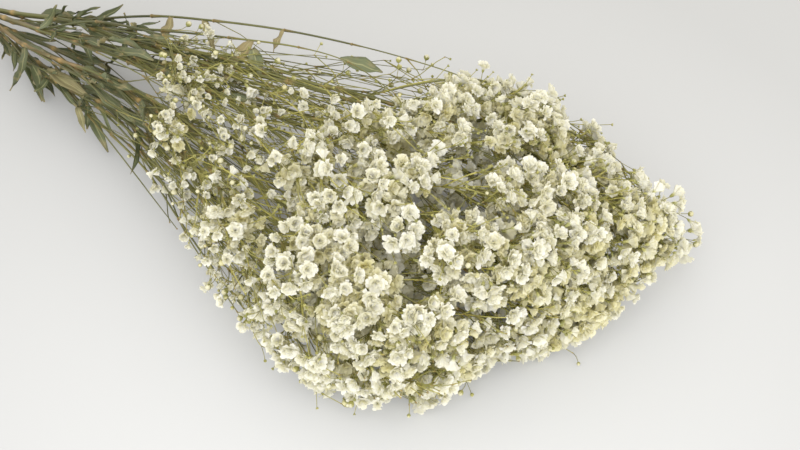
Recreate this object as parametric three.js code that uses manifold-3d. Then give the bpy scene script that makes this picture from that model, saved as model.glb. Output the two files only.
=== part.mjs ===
// A gathered bunch of dried gypsophila (baby's breath), laid down on a table.
// Ten cut stems pass through an elastic band and fan out into one loose flower head.
// Millimetres, +Z up. The cut ends are at -X and the furthest flowers at +X, and the bunch
// rests on z = 0 at its lowest flowers and at the cut end of its lowest stems.
//
// Every place in the bunch is given by three numbers: s, the distance from the cut ends, and
// u and v, the place across the bunch as shares of its half width and half height there.
// Each stem keeps to its own share of that cross-section, so no two stems run into each other.
import * as THREE from 'three';
import { mergeVertices } from 'three/addons/utils/BufferGeometryUtils.js';
import Module from 'manifold-3d';

const wasm = await Module();
wasm.setup();

// ---- Driving dimensions -------------------------------------------------------------------
const BUNCH_LENGTH = 650;        // cut ends to the furthest flowers
const HEAD_HALF_WIDTH = 113;     // middle to the outermost flowers, at the widest place
const HEAD_HALF_HEIGHT = 56;
const HEAD_OPENS = [250, 500];   // from the neck's width to the full width, from the cut ends
const HEAD_TAPER = 34;           // how much narrower the head is at its front
const HEAD_TAPERS_FROM = 540;
const HEAD_ROUNDING = 2.03;      // the turn, in radians, of the sine that the head's height follows
const HEAD_LIES_FROM = 300;      // past here the head itself lies on the table
const FRONT_SETBACK = 24;        // from the furthest flowers to the front at the bunch's middle
const FRONT_SLANT = 30;          // how much further the front reaches at the +Y edge
const FRONT_ROUNDING = { side: 8, top: 34, bottom: 14 };
const NECK_HALF_WIDTH = 35;      // where the head begins to open
const NECK_AT = 230;
const BUTT_HALF_WIDTH = 11;      // below the band the cut ends spread again
const BUTT_HALF_HEIGHT = 8.25;
const BAND_FROM = 106;           // the band's lower edge, from the cut ends
const BAND_TO = 113.2;           // its upper edge
const BAND_BUNDLE = 6;           // half width of the bundle in the band
const ARCH = 12;                 // how far the bare stems lift off the table between butt and head
const ARCH_TO = 430;

const STEM_RADIUS = 1.5;         // at the cut end
const STEM_TIP_RADIUS = 0.7;
const STEM_TAPERS_FROM = 180;
const STEM_TIP_SETBACK = [34, 54];  // from the head's front back to the stem's tip
const STEM_STATION = 40;         // a joint of the stem, where it bends a little and branches
const STEM_SIDES = 5;
const BUTT_FLAT = 0.25;          // how much of the lowest stem's cut end the table takes off
const STEM_SWAY = { degrees: 5, wave: 47 };
const STEM_GATHER = 0.18;        // the share by which stems draw in where the head begins
const STEM_FLARE = 0.1;          // and the share by which they part again at their tips
const SPRAY_RADIUS = 0.8;        // where a spray leaves its stem
const STALK_RADIUS = 0.5;        // under a floret
const FIRST_SPRAY_AT = 205;
const SHORTEST_STALK = 16;       // from a stem's joint forward to a floret, along the bunch
const FORK_SETBACK = 14;         // from the last fork to the nearest of its florets

const FLORET_COUNT = 400;
const FLORET_RADIUS = [6.5, 10.5];
const FIRST_FLORET_AT = 268;
const DENSE_FROM = 400;          // the florets close up between the first of them and here
const FLORET_SPACING = [1.7, 1.02];  // in sums of two florets' radii, on the bare side and past it
const INNER_SHARE = 0.22;        // of the florets, those inside the head
const FLORET_PETALS = 5;
const PETAL_REACH = [0.9, 1.08]; // of the floret's radius
const CLEARANCE = 0.2;           // from any node to the edge of its stem's share

const FIRST_LEAF_AT = 150;
const LAST_LEAF_AT = 330;
const LEAF_LENGTH = [26, 42];
const LEAF_HALF_WIDTH = 2.7;
const LEAF_THICKNESS = 0.9;
const LEAF_SECTION = 4;          // points in each of a leaf's sections

const BAND_WRAPS = 4;
const BAND_THICKNESS = 1.7;
const BAND_GAP = 0.3;            // between the band and the outer stems
const BAND_SIDES = 18;

// Each stem: its direction round the bunch in degrees (0 is +Y, 90 is up), how far out from the
// middle it runs (1 is the outline), how far its cut end is from the longest, and its leaves.
const STEMS = [
  { turn: 12, out: 0.85, butt: 6, leaves: 4 },
  { turn: 55, out: 0.85, butt: 14, leaves: 4 },
  { turn: 98, out: 0.85, butt: 3, leaves: 3 },
  { turn: 140, out: 0.85, butt: 19, leaves: 4 },
  { turn: 192, out: 0.85, butt: 9, leaves: 5 },
  { turn: 236, out: 0.85, butt: 0, leaves: 2 },
  { turn: 284, out: 0.85, butt: 1.5, leaves: 2 },
  { turn: 326, out: 0.85, butt: 12, leaves: 3 },
  { turn: 8, out: 0.3, butt: 8, leaves: 0 },
  { turn: 188, out: 0.3, butt: 16, leaves: 0 },
];

// ---- Small helpers ------------------------------------------------------------------------
const mix = (a, b, t) => a + (b - a) * t;
const clamp01 = (t) => Math.min(1, Math.max(0, t));
const radians = (degrees) => (degrees * Math.PI) / 180;
const LOWEST_STEM = Math.max(...STEMS.map(({ turn, out }) => -out * Math.sin(radians(turn))));

function ease(from, to, x) {
  const t = clamp01((x - from) / (to - from));
  return t * t * (3 - 2 * t);
}

// A seeded source of numbers from 0 to 1, the same on every run.
function dice(seed) {
  let state = seed >>> 0;
  return () => {
    state = (Math.imul(state, 1664525) + 1013904223) >>> 0;
    let mixed = state ^ (state >>> 15);
    mixed = Math.imul(mixed, 2246822519) >>> 0;
    mixed ^= mixed >>> 13;
    return (mixed >>> 0) / 4294967296;
  };
}

// ---- The bunch's outline ------------------------------------------------------------------
function halfWidth(s) {
  if (s < BAND_FROM) return mix(BUTT_HALF_WIDTH, BAND_BUNDLE, ease(0, BAND_FROM, s));
  return BAND_BUNDLE + (NECK_HALF_WIDTH - BAND_BUNDLE) * ease(BAND_TO, NECK_AT, s)
    + (HEAD_HALF_WIDTH - NECK_HALF_WIDTH) * ease(...HEAD_OPENS, s)
    - HEAD_TAPER * ease(HEAD_TAPERS_FROM, BUNCH_LENGTH, s);
}

function halfHeight(s) {
  if (s < BAND_FROM) return mix(BUTT_HALF_HEIGHT, BAND_BUNDLE, ease(0, BAND_FROM, s));
  const t = clamp01((s - BAND_TO) / (BUNCH_LENGTH - BAND_TO));
  return BAND_BUNDLE + (HEAD_HALF_HEIGHT - BAND_BUNDLE) * Math.sin(HEAD_ROUNDING * t) ** 1.2;
}

// The lowest stems lie on the table at the cut end, and the whole head does further on.
function middleHeight(s) {
  const head = ease(0, HEAD_LIES_FROM, s);
  const lift = ARCH * Math.sin(Math.PI * clamp01(s / ARCH_TO));
  const buttHeight = halfHeight(s) * LOWEST_STEM + STEM_RADIUS - BUTT_FLAT;
  return mix(buttHeight, halfHeight(s), head) + lift;
}

function place(s, u, v) {
  return new THREE.Vector3(s, u * halfWidth(s), middleHeight(s) + v * halfHeight(s));
}

// The shares u and v of a point, the inverse of place.
function shareOf(point) {
  return {
    u: point.y / halfWidth(point.x),
    v: (point.z - middleHeight(point.x)) / halfHeight(point.x),
  };
}

// The head ends in a slant: it reaches furthest on the +Y side, and least at the top.
function front(u, v) {
  const { side, top, bottom } = FRONT_ROUNDING;
  const middle = BUNCH_LENGTH - FRONT_SETBACK + FRONT_SLANT * u;
  return middle - side * u * u - (v > 0 ? top : bottom) * v * v;
}

const seats = STEMS.map((stem) => ({
  u: stem.out * Math.cos(radians(stem.turn)),
  v: stem.out * Math.sin(radians(stem.turn)),
}));

// How far inside stem number i's share a place lies, in millimetres. Negative is outside it.
function roomIn(i, s, u, v) {
  const w = halfWidth(s);
  const h = halfHeight(s);
  let room = Infinity;
  seats.forEach((other, j) => {
    if (j === i) return;
    const nu = other.u - seats[i].u;
    const nv = other.v - seats[i].v;
    const past = (u - (other.u + seats[i].u) / 2) * nu + (v - (other.v + seats[i].v) / 2) * nv;
    room = Math.min(room, -past / Math.hypot(nu / w, nv / h));
  });
  return room;
}

function ownerOf(u, v) {
  let best = 0;
  seats.forEach((seat, i) => {
    const nearer = (seat.u - u) ** 2 + (seat.v - v) ** 2;
    if (nearer < (seats[best].u - u) ** 2 + (seats[best].v - v) ** 2) best = i;
  });
  return best;
}

// ---- Growth: where stems, twigs and florets go --------------------------------------------
// The stem's own line, in shares: out at the band, nearer the middle where the head begins, and
// out again at the tip, so that it can branch to both sides.
function stemShare(i, s) {
  const { turn, out } = STEMS[i];
  const inner = out < 0.5;
  const gathered = out - STEM_GATHER * ease(BAND_TO, 330, s) + STEM_FLARE * ease(430, 600, s);
  const reach = inner ? out : gathered;
  const wave = Math.sin(s / STEM_SWAY.wave + i * 1.9);
  const sway = STEM_SWAY.degrees * ease(150, 300, s) * wave;
  return {
    u: reach * Math.cos(radians(turn + sway)),
    v: reach * Math.sin(radians(turn + sway)),
  };
}

function growStem(i) {
  const roll = dice(100 + i);
  const seat = seats[i];
  const tip = front(seat.u, seat.v) - mix(...STEM_TIP_SETBACK, roll());
  const joints = Math.round((tip - BAND_TO) / STEM_STATION);
  const stations = [STEMS[i].butt, BAND_FROM / 2, BAND_FROM];
  for (let k = 0; k <= joints; k++) stations.push(mix(BAND_TO, tip, k / joints));
  return stations.map((s) => {
    const { u, v } = stemShare(i, s);
    const radius = mix(STEM_RADIUS, STEM_TIP_RADIUS, ease(STEM_TAPERS_FROM, tip, s));
    return { at: place(s, u, v), radius, florets: [] };
  });
}

// Florets are spread evenly over the head, most of them near its outline, none closer to the
// next than the spacing, which is wide on the bare side of the head and narrow at the front.
function spreadFlorets() {
  const roll = dice(7);
  const squareness = 2.5;
  const found = [];
  for (let tries = 0; tries < 60000 && found.length < FLORET_COUNT; tries++) {
    const s = mix(FIRST_FLORET_AT, BUNCH_LENGTH - 4, roll() ** 0.7);
    const turn = 2 * Math.PI * roll();
    const out = Math.sqrt(mix(roll() < INNER_SHARE ? 0.02 : 0.6, 1, roll()));
    const round = Math.abs(Math.cos(turn)) ** squareness + Math.abs(Math.sin(turn)) ** squareness;
    const reach = out / round ** (1 / squareness);
    const u = reach * Math.cos(turn);
    const v = reach * Math.sin(turn);
    const at = place(s, u, v);
    const stem = ownerOf(u, v);
    const room = (roomIn(stem, s, u, v) - CLEARANCE) / PETAL_REACH[1];
    const radius = Math.min(room, mix(...FLORET_RADIUS, roll()));
    if (s > front(u, v) || at.z < radius * 0.5 || radius < FLORET_RADIUS[0]) continue;
    const spacing = mix(...FLORET_SPACING, ease(FIRST_FLORET_AT, DENSE_FROM, s));
    if (found.some((other) => other.at.distanceTo(at) < spacing * (other.radius + radius))) continue;
    const outward = at.clone().sub(place(s, u * 0.4, v * 0.4)).normalize();
    found.push({ stem, at, outward, turn, radius });
  }
  return found;
}

// A floret grows from the joint of its stem that lies behind it and needs the shortest,
// straightest stalk, as long as that stalk passes clear of the stem's other florets. A floret
// that no joint can reach is left out.
function joinFloret(line, floret) {
  const others = line.flatMap((joint) => joint.florets.map((other) => ({ joint, other })));
  const blocks = (spot, from, to) => gapTo(spot.at, from, to) < spot.radius * 0.8;
  const bendCost = 1.6;
  let best = null;
  line.forEach((joint, k) => {
    const stalk = floret.at.clone().sub(joint.at);
    const length = stalk.length();
    if (joint.at.x < FIRST_SPRAY_AT || joint.at.x > floret.at.x - SHORTEST_STALK) return;
    const bend = 1 - stalk.dot(directionAt(line, k)) / length;
    const cost = length * (1 + bendCost * bend);
    if (best && cost > best.cost) return;
    if (others.some(({ other }) => blocks(other, joint.at, floret.at))) return;
    best = { cost, joint };
  });
  if (!best) return;
  if (others.some(({ joint, other }) => blocks(floret, joint.at, other.at))) return;
  best.joint.florets.push(floret);
}

// The distance from a point to the line between two others.
function gapTo(point, from, to) {
  return new THREE.Line3(from, to).closestPointToPoint(point, true, new THREE.Vector3())
    .distanceTo(point);
}

// A spray forks and forks again until each end carries one floret. Every fork parts its florets
// into three sectors round the branch, so that no branch runs into another.
function growSpray(from, florets) {
  if (florets.length === 1) return { at: florets[0].at, floret: florets[0], limbs: [] };
  const middle = new THREE.Vector3();
  florets.forEach((floret) => middle.addScaledVector(floret.at, 1 / florets.length));
  const axis = middle.clone().sub(from).normalize();
  const nearest = Math.min(...florets.map((floret) => floret.at.clone().sub(from).dot(axis)));
  const halfway = 0.5 * middle.distanceTo(from);
  const length = Math.max(0.3 * nearest, Math.min(halfway, nearest - FORK_SETBACK));
  const at = from.clone().addScaledVector(axis, length);
  const [side, up] = across(axis);
  const turnOf = (floret) => {
    const out = floret.at.clone().sub(at);
    return Math.atan2(out.dot(up), out.dot(side));
  };
  const sorted = [...florets].sort((a, b) => turnOf(a) - turnOf(b));
  const start = widestGap(sorted.map(turnOf));
  const sectors = [[], [], []];
  for (const floret of florets) {
    const turn = (turnOf(floret) - start + 4 * Math.PI) % (2 * Math.PI);
    sectors[Math.min(2, Math.floor(turn / (2 * Math.PI / 3)))].push(floret);
  }
  const limbs = sectors.map((sector) => (sector.length ? growSpray(at, sector) : null));
  return { at, start, limbs };
}

// The middle of the widest gap between angles in rising order.
function widestGap(angles) {
  let best = { gap: -1, start: 0 };
  angles.forEach((angle, k) => {
    const before = k ? angles[k - 1] : angles[angles.length - 1] - 2 * Math.PI;
    const gap = angle - before;
    if (gap > best.gap) best = { gap, start: angle - gap / 2 };
  });
  return best.start;
}

// Leaves stand at the joints of the bare stem, pointing forward and away from the bunch.
function growLeaves(i, line) {
  const roll = dice(300 + i);
  const joints = line.filter(({ at }) => at.x > FIRST_LEAF_AT && at.x < LAST_LEAF_AT);
  const leaves = [];
  for (let tries = 0; tries < 4000 && leaves.length < STEMS[i].leaves; tries++) {
    const joint = joints[Math.floor(joints.length * roll())];
    const k = line.indexOf(joint);
    const along = directionAt(line, k);
    const [side, up] = across(along);
    const turn = radians(STEMS[i].turn + mix(-70, 70, roll()));
    const outward = side.clone().multiplyScalar(Math.cos(turn)).addScaledVector(up, Math.sin(turn));
    const heading = along.clone().addScaledVector(outward, mix(0.35, 0.75, roll())).normalize();
    const droop = outward.clone().multiplyScalar(mix(-0.5, 0.6, roll()));
    droop.addScaledVector(side, mix(-0.5, 0.5, roll()));
    const length = mix(...LEAF_LENGTH, roll());
    const points = leafPoints(joint.at, heading, droop, length);
    const pastFoot = points.slice(LEAF_SECTION);
    const clear = pastFoot.every((point) => {
      const { u, v } = shareOf(point);
      return roomIn(i, point.x, u, v) > CLEARANCE && point.z > 1;
    });
    const near = (leaf) => leaf.joint === joint && leaf.heading.angleTo(heading) <= 0.9;
    const alone = !leaves.some(near);
    if (clear && alone) leaves.push({ joint, heading, points });
  }
  return leaves;
}

// ---- Solids -------------------------------------------------------------------------------
function closedGeometry(points, triangles) {
  const flat = points.flatMap((p) => [p.x, p.y, p.z]);
  return new THREE.BufferGeometry()
    .setAttribute('position', new THREE.Float32BufferAttribute(flat, 3))
    .setIndex(triangles);
}

function solidOf(geometry) {
  const bare = geometry.clone();
  bare.deleteAttribute('normal');
  bare.deleteAttribute('uv');
  const merged = mergeVertices(bare, 1e-4);
  return new wasm.Manifold(new wasm.Mesh({
    numProp: 3,
    vertProperties: merged.attributes.position.array,
    triVerts: new Uint32Array(merged.index.array),
  }));
}

function geometryOf(solid) {
  const mesh = solid.getMesh();
  return new THREE.BufferGeometry()
    .setAttribute('position', new THREE.BufferAttribute(mesh.vertProperties, 3))
    .setIndex(new THREE.BufferAttribute(mesh.triVerts, 1));
}

// Triangles between rings of equal size, with a flat cap on each end ring.
function skinRings(rings) {
  const size = rings[0].length;
  const triangles = [];
  for (let r = 0; r + 1 < rings.length; r++) {
    for (let k = 0; k < size; k++) {
      const a = r * size + k;
      const b = r * size + ((k + 1) % size);
      triangles.push(a, b, b + size, a, b + size, a + size);
    }
  }
  const last = (rings.length - 1) * size;
  for (let k = 1; k + 1 < size; k++) {
    triangles.push(0, k + 1, k, last, last + k, last + k + 1);
  }
  return closedGeometry(rings.flat(), triangles);
}

// Two directions square to a line, the first of them level.
function across(direction) {
  const level = new THREE.Vector3(0, 0, 1).cross(direction);
  if (level.length() < 1e-3) level.set(0, 1, 0);
  level.normalize();
  return [level, direction.clone().cross(level).normalize()];
}

function ring(centre, direction, radius, sides, startAngle = 0) {
  const [side, up] = across(direction);
  return Array.from({ length: sides }, (_, k) => {
    const angle = startAngle + (2 * Math.PI * k) / sides;
    return centre.clone()
      .addScaledVector(side, radius * Math.cos(angle))
      .addScaledVector(up, radius * Math.sin(angle));
  });
}

function directionAt(line, k) {
  const before = line[Math.max(0, k - 1)].at;
  const after = line[Math.min(line.length - 1, k + 1)].at;
  return after.clone().sub(before).normalize();
}

function rod(line, sides) {
  return solidOf(skinRings(line.map((p, k) => ring(p.at, directionAt(line, k), p.radius, sides))));
}

// A spray is one closed skin. Each branch has three sides, and it ends in a low three-faced point
// whose faces are the roots of its limbs, or opens into a calyx and a star of petals.
function spraySolid(root, tree) {
  const sunk = 0.3;
  const heading = tree.at.clone().sub(root).normalize();
  const foot = root.clone().addScaledVector(heading, -sunk);
  const points = ring(foot, heading, SPRAY_RADIUS * 0.8, 3, 0.7);
  const triangles = [0, 2, 1];
  growLimb(points, triangles, [0, 1, 2], root, tree, SPRAY_RADIUS);
  return solidOf(closedGeometry(points, triangles));
}

function growLimb(points, triangles, foot, from, limb, radius) {
  const axis = limb.at.clone().sub(from).normalize();
  const [side, up] = across(axis);
  const spoke = (centre, angle, reach) => centre.clone()
    .addScaledVector(side, reach * Math.cos(angle))
    .addScaledVector(up, reach * Math.sin(angle));
  const [a0, b0, c0] = foot.map((index) => points[index]);
  const footMiddle = new THREE.Triangle(a0, b0, c0).getMidpoint(new THREE.Vector3());
  const footSpoke = a0.clone().sub(footMiddle);
  const footTurn = Math.atan2(footSpoke.dot(up), footSpoke.dot(side));
  const third = (2 * Math.PI) / 3;
  const start = limb.floret ? footTurn : limb.start;
  const first = points.length;
  const end = limb.at.clone();
  if (limb.floret) end.addScaledVector(axis, -limb.floret.radius * 0.35);
  for (let k = 0; k < 3; k++) points.push(spoke(end, start + k * third, radius));
  const twist = ((Math.round((footTurn - start) / third) % 3) + 3) % 3;
  for (let k = 0; k < 3; k++) {
    const next = (k + 1) % 3;
    const a = first + ((k + twist) % 3);
    const b = first + ((next + twist) % 3);
    triangles.push(foot[k], foot[next], b, foot[k], b, a);
  }
  if (limb.floret) {
    growPetals(points, triangles, first, end, limb.floret, axis);
    return;
  }
  const point = points.length;
  points.push(end.clone().addScaledVector(axis, radius * 0.45));
  limb.limbs.forEach((next, k) => {
    const face = [first + k, first + ((k + 1) % 3), point];
    if (!next) triangles.push(...face);
    else growLimb(points, triangles, face, end, next, Math.max(STALK_RADIUS, radius * 0.82));
  });
}

// Pointed petals stand round a low crown, tip and notch in turn, on the calyx that the stalk's
// three sides open into. The flower faces out of the head.
function growPetals(points, triangles, neck, neckAt, floret, stalk) {
  const axis = stalk.clone().multiplyScalar(1.3).add(floret.outward).normalize();
  const [side, up] = across(axis);
  const around = (angle, reach, lift) => neckAt.clone()
    .addScaledVector(side, reach * Math.cos(angle))
    .addScaledVector(up, reach * Math.sin(angle))
    .addScaledVector(axis, lift);
  const neckSpoke = points[neck].clone().sub(neckAt);
  const turn = Math.atan2(neckSpoke.dot(up), neckSpoke.dot(side)) - radians(54);
  const star = points.length;
  const rim = 2 * FLORET_PETALS;
  for (let k = 0; k < rim; k++) {
    const tip = k % 2 === 0;
    const reach = tip ? mix(...PETAL_REACH, (floret.turn * (k + 3)) % 1) : 0.74;
    const lift = tip ? 0.5 : 0.24;
    const angle = turn + (k * 2 * Math.PI) / rim;
    points.push(around(angle, reach * floret.radius, lift * floret.radius));
  }
  const crown = points.length;
  points.push(around(0, 0, floret.radius));
  const spans = [0, 3, 7, rim];  // the rim points that each side of the stalk opens into
  for (let k = 0; k < 3; k++) {
    for (let r = spans[k]; r < spans[k + 1]; r++) {
      const next = star + ((r + 1) % rim);
      triangles.push(neck + k, next, star + r, star + r, next, crown);
    }
    triangles.push(neck + k, neck + ((k + 1) % 3), star + (spans[k + 1] % rim));
  }
}

// The points of a narrow pointed leaf, keeled along its middle: sections of four points, from
// the foot on, and the tip.
function leafPoints(foot, heading, droop, length) {
  const stations = [0, 0.3, 0.68];
  const widths = [0.3, 1, 0.8];
  const points = [];
  const spineAt = (t) => foot.clone()
    .addScaledVector(heading, length * t)
    .addScaledVector(droop, length * 0.45 * t * t);
  const flat = across(heading);
  stations.forEach((t, k) => {
    const direction = spineAt(t + 0.02).sub(spineAt(t - 0.02)).normalize();
    const side = flat[1].clone().cross(direction).normalize();
    const face = direction.clone().cross(side);
    const half = LEAF_HALF_WIDTH * widths[k];
    const middle = spineAt(t);
    points.push(middle.clone().addScaledVector(side, half).addScaledVector(face, 0.3 * half));
    points.push(middle.clone().addScaledVector(face, LEAF_THICKNESS / 2));
    points.push(middle.clone().addScaledVector(side, -half).addScaledVector(face, 0.3 * half));
    points.push(middle.clone().addScaledVector(face, -LEAF_THICKNESS / 2));
  });
  points.push(spineAt(1));
  return points;
}

function leafSolid(points) {
  const triangles = [0, 2, 1, 0, 3, 2];
  const last = points.length - 5;
  for (let a = 0; a < last; a += 4) {
    for (let k = 0; k < 4; k++) {
      const next = (k + 1) % 4;
      triangles.push(a + k, a + next, a + next + 4, a + k, a + next + 4, a + k + 4);
    }
  }
  for (let k = 0; k < 4; k++) triangles.push(last + k, last + ((k + 1) % 4), last + 4);
  return solidOf(closedGeometry(points, triangles));
}

// The elastic band: one ring with a ridge for each wrap, square to the bundle.
function bandMesh(material) {
  const inner = BAND_BUNDLE * STEMS[0].out + STEM_RADIUS + BAND_GAP;
  const width = BAND_TO - BAND_FROM;
  const profile = [new THREE.Vector2(inner, -width / 2)];
  for (let k = 0; k <= 2 * BAND_WRAPS; k++) {
    const thickness = BAND_THICKNESS * (k % 2 ? 1 : 0.74);
    const along = mix(-width / 2, width / 2, k / (2 * BAND_WRAPS));
    profile.push(new THREE.Vector2(inner + thickness, along));
  }
  profile.push(new THREE.Vector2(inner, width / 2), profile[0].clone());
  const mesh = new THREE.Mesh(new THREE.LatheGeometry(profile, BAND_SIDES), material);
  const from = place(BAND_FROM, 0, 0);
  const to = place(BAND_TO, 0, 0);
  mesh.quaternion.setFromUnitVectors(new THREE.Vector3(0, 1, 0), to.clone().sub(from).normalize());
  mesh.position.copy(from.lerp(to, 0.5));
  return mesh;
}

// What lies below the table is cut away, so that the lowest florets and stems rest on flats.
function tableSolid() {
  const depth = 40;
  const slab = new THREE.BoxGeometry(2 * BUNCH_LENGTH, 4 * HEAD_HALF_WIDTH, depth);
  return solidOf(slab.translate(BUNCH_LENGTH / 2, 0, -depth / 2));
}

// ---- The bunch ----------------------------------------------------------------------------
const lines = STEMS.map((_, i) => growStem(i));
spreadFlorets().forEach((floret) => joinFloret(lines[floret.stem], floret));

const driedSpray = new THREE.MeshStandardMaterial({ color: 0xc9cba0, roughness: 0.85, metalness: 0 });
const elastic = new THREE.MeshStandardMaterial({ color: 0xb98d5c, roughness: 0.6, metalness: 0 });

const bunch = new THREE.Group();
const table = tableSolid();
lines.forEach((line, i) => {
  const pieces = [rod(line, STEM_SIDES)];
  line.forEach((joint) => {
    if (joint.florets.length) pieces.push(spraySolid(joint.at, growSpray(joint.at, joint.florets)));
  });
  growLeaves(i, line).forEach((leaf) => pieces.push(leafSolid(leaf.points)));
  const joined = wasm.Manifold.union(pieces).subtract(table);
  const mesh = new THREE.Mesh(geometryOf(joined), driedSpray);
  mesh.name = `stem_${String(i + 1).padStart(2, '0')}`;
  bunch.add(mesh);
});
const band = bandMesh(elastic);
band.name = 'elastic_band';
bunch.add(band);

// The origin is on the table, under the middle of the whole bunch.
const bounds = new THREE.Box3().setFromObject(bunch, true);
bunch.position.set(-(bounds.min.x + bounds.max.x) / 2, -(bounds.min.y + bounds.max.y) / 2, 0);

export default bunch;
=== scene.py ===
"""Dresses the solids of a dried gypsophila bunch with its real twigs, flowers, buds and leaves.

The bunch grows by the same rules and the same seeded draws as its solids, so every stem, spray,
leaf and flower head stands where its solid is. Growth is worked out in millimetres, with s, the
distance from the cut ends, and u and v, the place across the bunch as shares of its half width
and half height there. Meshes are in metres, in the frame of the solids.
"""

import functools
import math

import bpy
import numpy as np
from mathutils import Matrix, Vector


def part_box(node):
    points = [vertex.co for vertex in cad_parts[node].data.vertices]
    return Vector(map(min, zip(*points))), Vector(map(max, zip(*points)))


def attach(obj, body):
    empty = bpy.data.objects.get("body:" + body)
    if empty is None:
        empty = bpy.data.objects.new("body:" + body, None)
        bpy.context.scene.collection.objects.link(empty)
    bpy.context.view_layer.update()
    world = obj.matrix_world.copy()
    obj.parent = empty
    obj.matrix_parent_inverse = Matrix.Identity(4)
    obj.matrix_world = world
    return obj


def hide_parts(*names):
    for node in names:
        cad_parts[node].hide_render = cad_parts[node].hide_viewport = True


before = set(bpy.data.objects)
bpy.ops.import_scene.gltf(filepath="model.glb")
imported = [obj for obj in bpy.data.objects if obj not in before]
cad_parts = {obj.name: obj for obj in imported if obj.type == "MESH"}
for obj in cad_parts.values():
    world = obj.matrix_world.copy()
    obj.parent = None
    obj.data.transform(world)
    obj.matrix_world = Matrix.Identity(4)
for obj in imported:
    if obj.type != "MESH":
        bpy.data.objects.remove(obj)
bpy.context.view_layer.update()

bl_info = {
    "name": "Dried Gypsophila Bunch",
    "version": (1, 0, 0),
    "blender": (4, 5, 0),
    "location": "3D View > Sidebar > Gypsophila",
    "description": "Grows the twigs, flowers, buds and leaves of a dried gypsophila bunch",
    "category": "Object",
}

MM = 0.001

# ---- The bunch's driving dimensions, in millimetres, as its solids have them 
BUNCH_LENGTH = 650
HEAD_HALF_WIDTH = 113
HEAD_HALF_HEIGHT = 56
HEAD_OPENS = (250, 500)
HEAD_TAPER = 34
HEAD_TAPERS_FROM = 540
HEAD_ROUNDING = 2.03
HEAD_LIES_FROM = 300
FRONT_SETBACK = 24
FRONT_SLANT = 30
FRONT_ROUNDING = {"side": 8, "top": 34, "bottom": 14}
NECK_HALF_WIDTH = 35
NECK_AT = 230
BUTT_HALF_WIDTH = 11
BUTT_HALF_HEIGHT = 8.25
BAND_FROM = 106
BAND_TO = 113.2
BAND_BUNDLE = 6
ARCH = 12
ARCH_TO = 430

STEM_RADIUS = 1.5
STEM_TIP_RADIUS = 0.7
STEM_TAPERS_FROM = 180
STEM_TIP_SETBACK = (34, 54)
STEM_STATION = 40
BUTT_FLAT = 0.25
STEM_SWAY = {"degrees": 5, "wave": 47}
STEM_GATHER = 0.18
STEM_FLARE = 0.1
SPRAY_RADIUS = 0.8
FIRST_SPRAY_AT = 205
SHORTEST_STALK = 16
FORK_SETBACK = 14

FLORET_COUNT = 400
FLORET_TRIES = 60000
FLORET_RADIUS = (6.5, 10.5)
FIRST_FLORET_AT = 268
DENSE_FROM = 400
FLORET_SPACING = (1.7, 1.02)
INNER_SHARE = 0.22
HEART = 0.4  # outward is away from this share of the way out from the middle
PETAL_REACH = 1.08
CLEARANCE = 0.2

FIRST_LEAF_AT = 150
LAST_LEAF_AT = 330
LEAF_LENGTH = (26, 42)
LEAF_HALF_WIDTH = 2.7
LEAF_THICKNESS = 0.9
LEAF_DROOP = 0.45
LEAF_SECTIONS = ((0.3, 1), (0.68, 0.8))
LEAF_TURN = (-70, 70)
LEAF_LEAN = (0.35, 0.75)
LEAF_BENDS = {"outward": (-0.5, 0.6), "sideways": (-0.5, 0.5)}
LEAF_TRIES = 4000
LEAVES_APART = 0.9

BAND_WRAPS = 4
BAND_THICKNESS = 1.7
BAND_GAP = 0.3

# Where each seeded series of draws starts.
SEEDS = {
    "stem": 100, "florets": 7, "leaves": 300, "growth": 1000, "filling": 11,
    "flower": 500, "bud": 700, "flowers": 2000, "calyxes": 3000, "leaf_sheets": 4000,
}

# Each stem: its direction round the bunch in degrees, how far out from the middle it runs, how
# far its cut end is from the longest, its leaves, and how brown it has dried, from 0 to 1.
STEMS = (
    {"turn": 12, "out": 0.85, "butt": 6, "leaves": 4, "brown": 0.25},
    {"turn": 55, "out": 0.85, "butt": 14, "leaves": 4, "brown": 0.1},
    {"turn": 98, "out": 0.85, "butt": 3, "leaves": 3, "brown": 0.6},
    {"turn": 140, "out": 0.85, "butt": 19, "leaves": 4, "brown": 0.9},
    {"turn": 192, "out": 0.85, "butt": 9, "leaves": 5, "brown": 0.2},
    {"turn": 236, "out": 0.85, "butt": 0, "leaves": 2, "brown": 0.5},
    {"turn": 284, "out": 0.85, "butt": 1.5, "leaves": 2, "brown": 0.3},
    {"turn": 326, "out": 0.85, "butt": 12, "leaves": 3, "brown": 0.55},
    {"turn": 8, "out": 0.3, "butt": 8, "leaves": 0, "brown": 0.15},
    {"turn": 188, "out": 0.3, "butt": 16, "leaves": 0, "brown": 0.4},
)


# ---- Small helpers ----------------------------------------------------------
def mix(a, b, t):
    return a + (b - a) * t


def ease(start, stop, x):
    t = np.clip((x - start) / (stop - start), 0, 1)
    return t * t * (3 - 2 * t)


def unit(vector):
    return vector / np.linalg.norm(vector, axis=-1, keepdims=True)


def dice(seed):
    """A seeded source of numbers from 0 to 1, the one that the solids are grown with."""
    low_bits = 0xFFFFFFFF
    state = seed

    def roll():
        nonlocal state
        state = (state * 1664525 + 1013904223) & low_bits
        mixed = ((state ^ (state >> 15)) * 2246822519) & low_bits
        mixed ^= mixed >> 13
        return mixed / 4294967296

    return roll


def across(direction):
    """Two directions square to a line, the first of them level."""
    level = np.cross((0, 0, 1), direction)
    if np.linalg.norm(level) < 1e-3:
        level = np.array((0.0, 1.0, 0.0))
    level = unit(level)
    return level, unit(np.cross(direction, level))


def polar(reach, turn):
    return reach * math.cos(turn), reach * math.sin(turn)


def any_turn(random):
    return random.uniform(0, 2 * np.pi)


# ---- The bunch's outline ----------------------------------------------------
LOWEST_STEM = max(-stem["out"] * math.sin(math.radians(stem["turn"])) for stem in STEMS)


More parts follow.
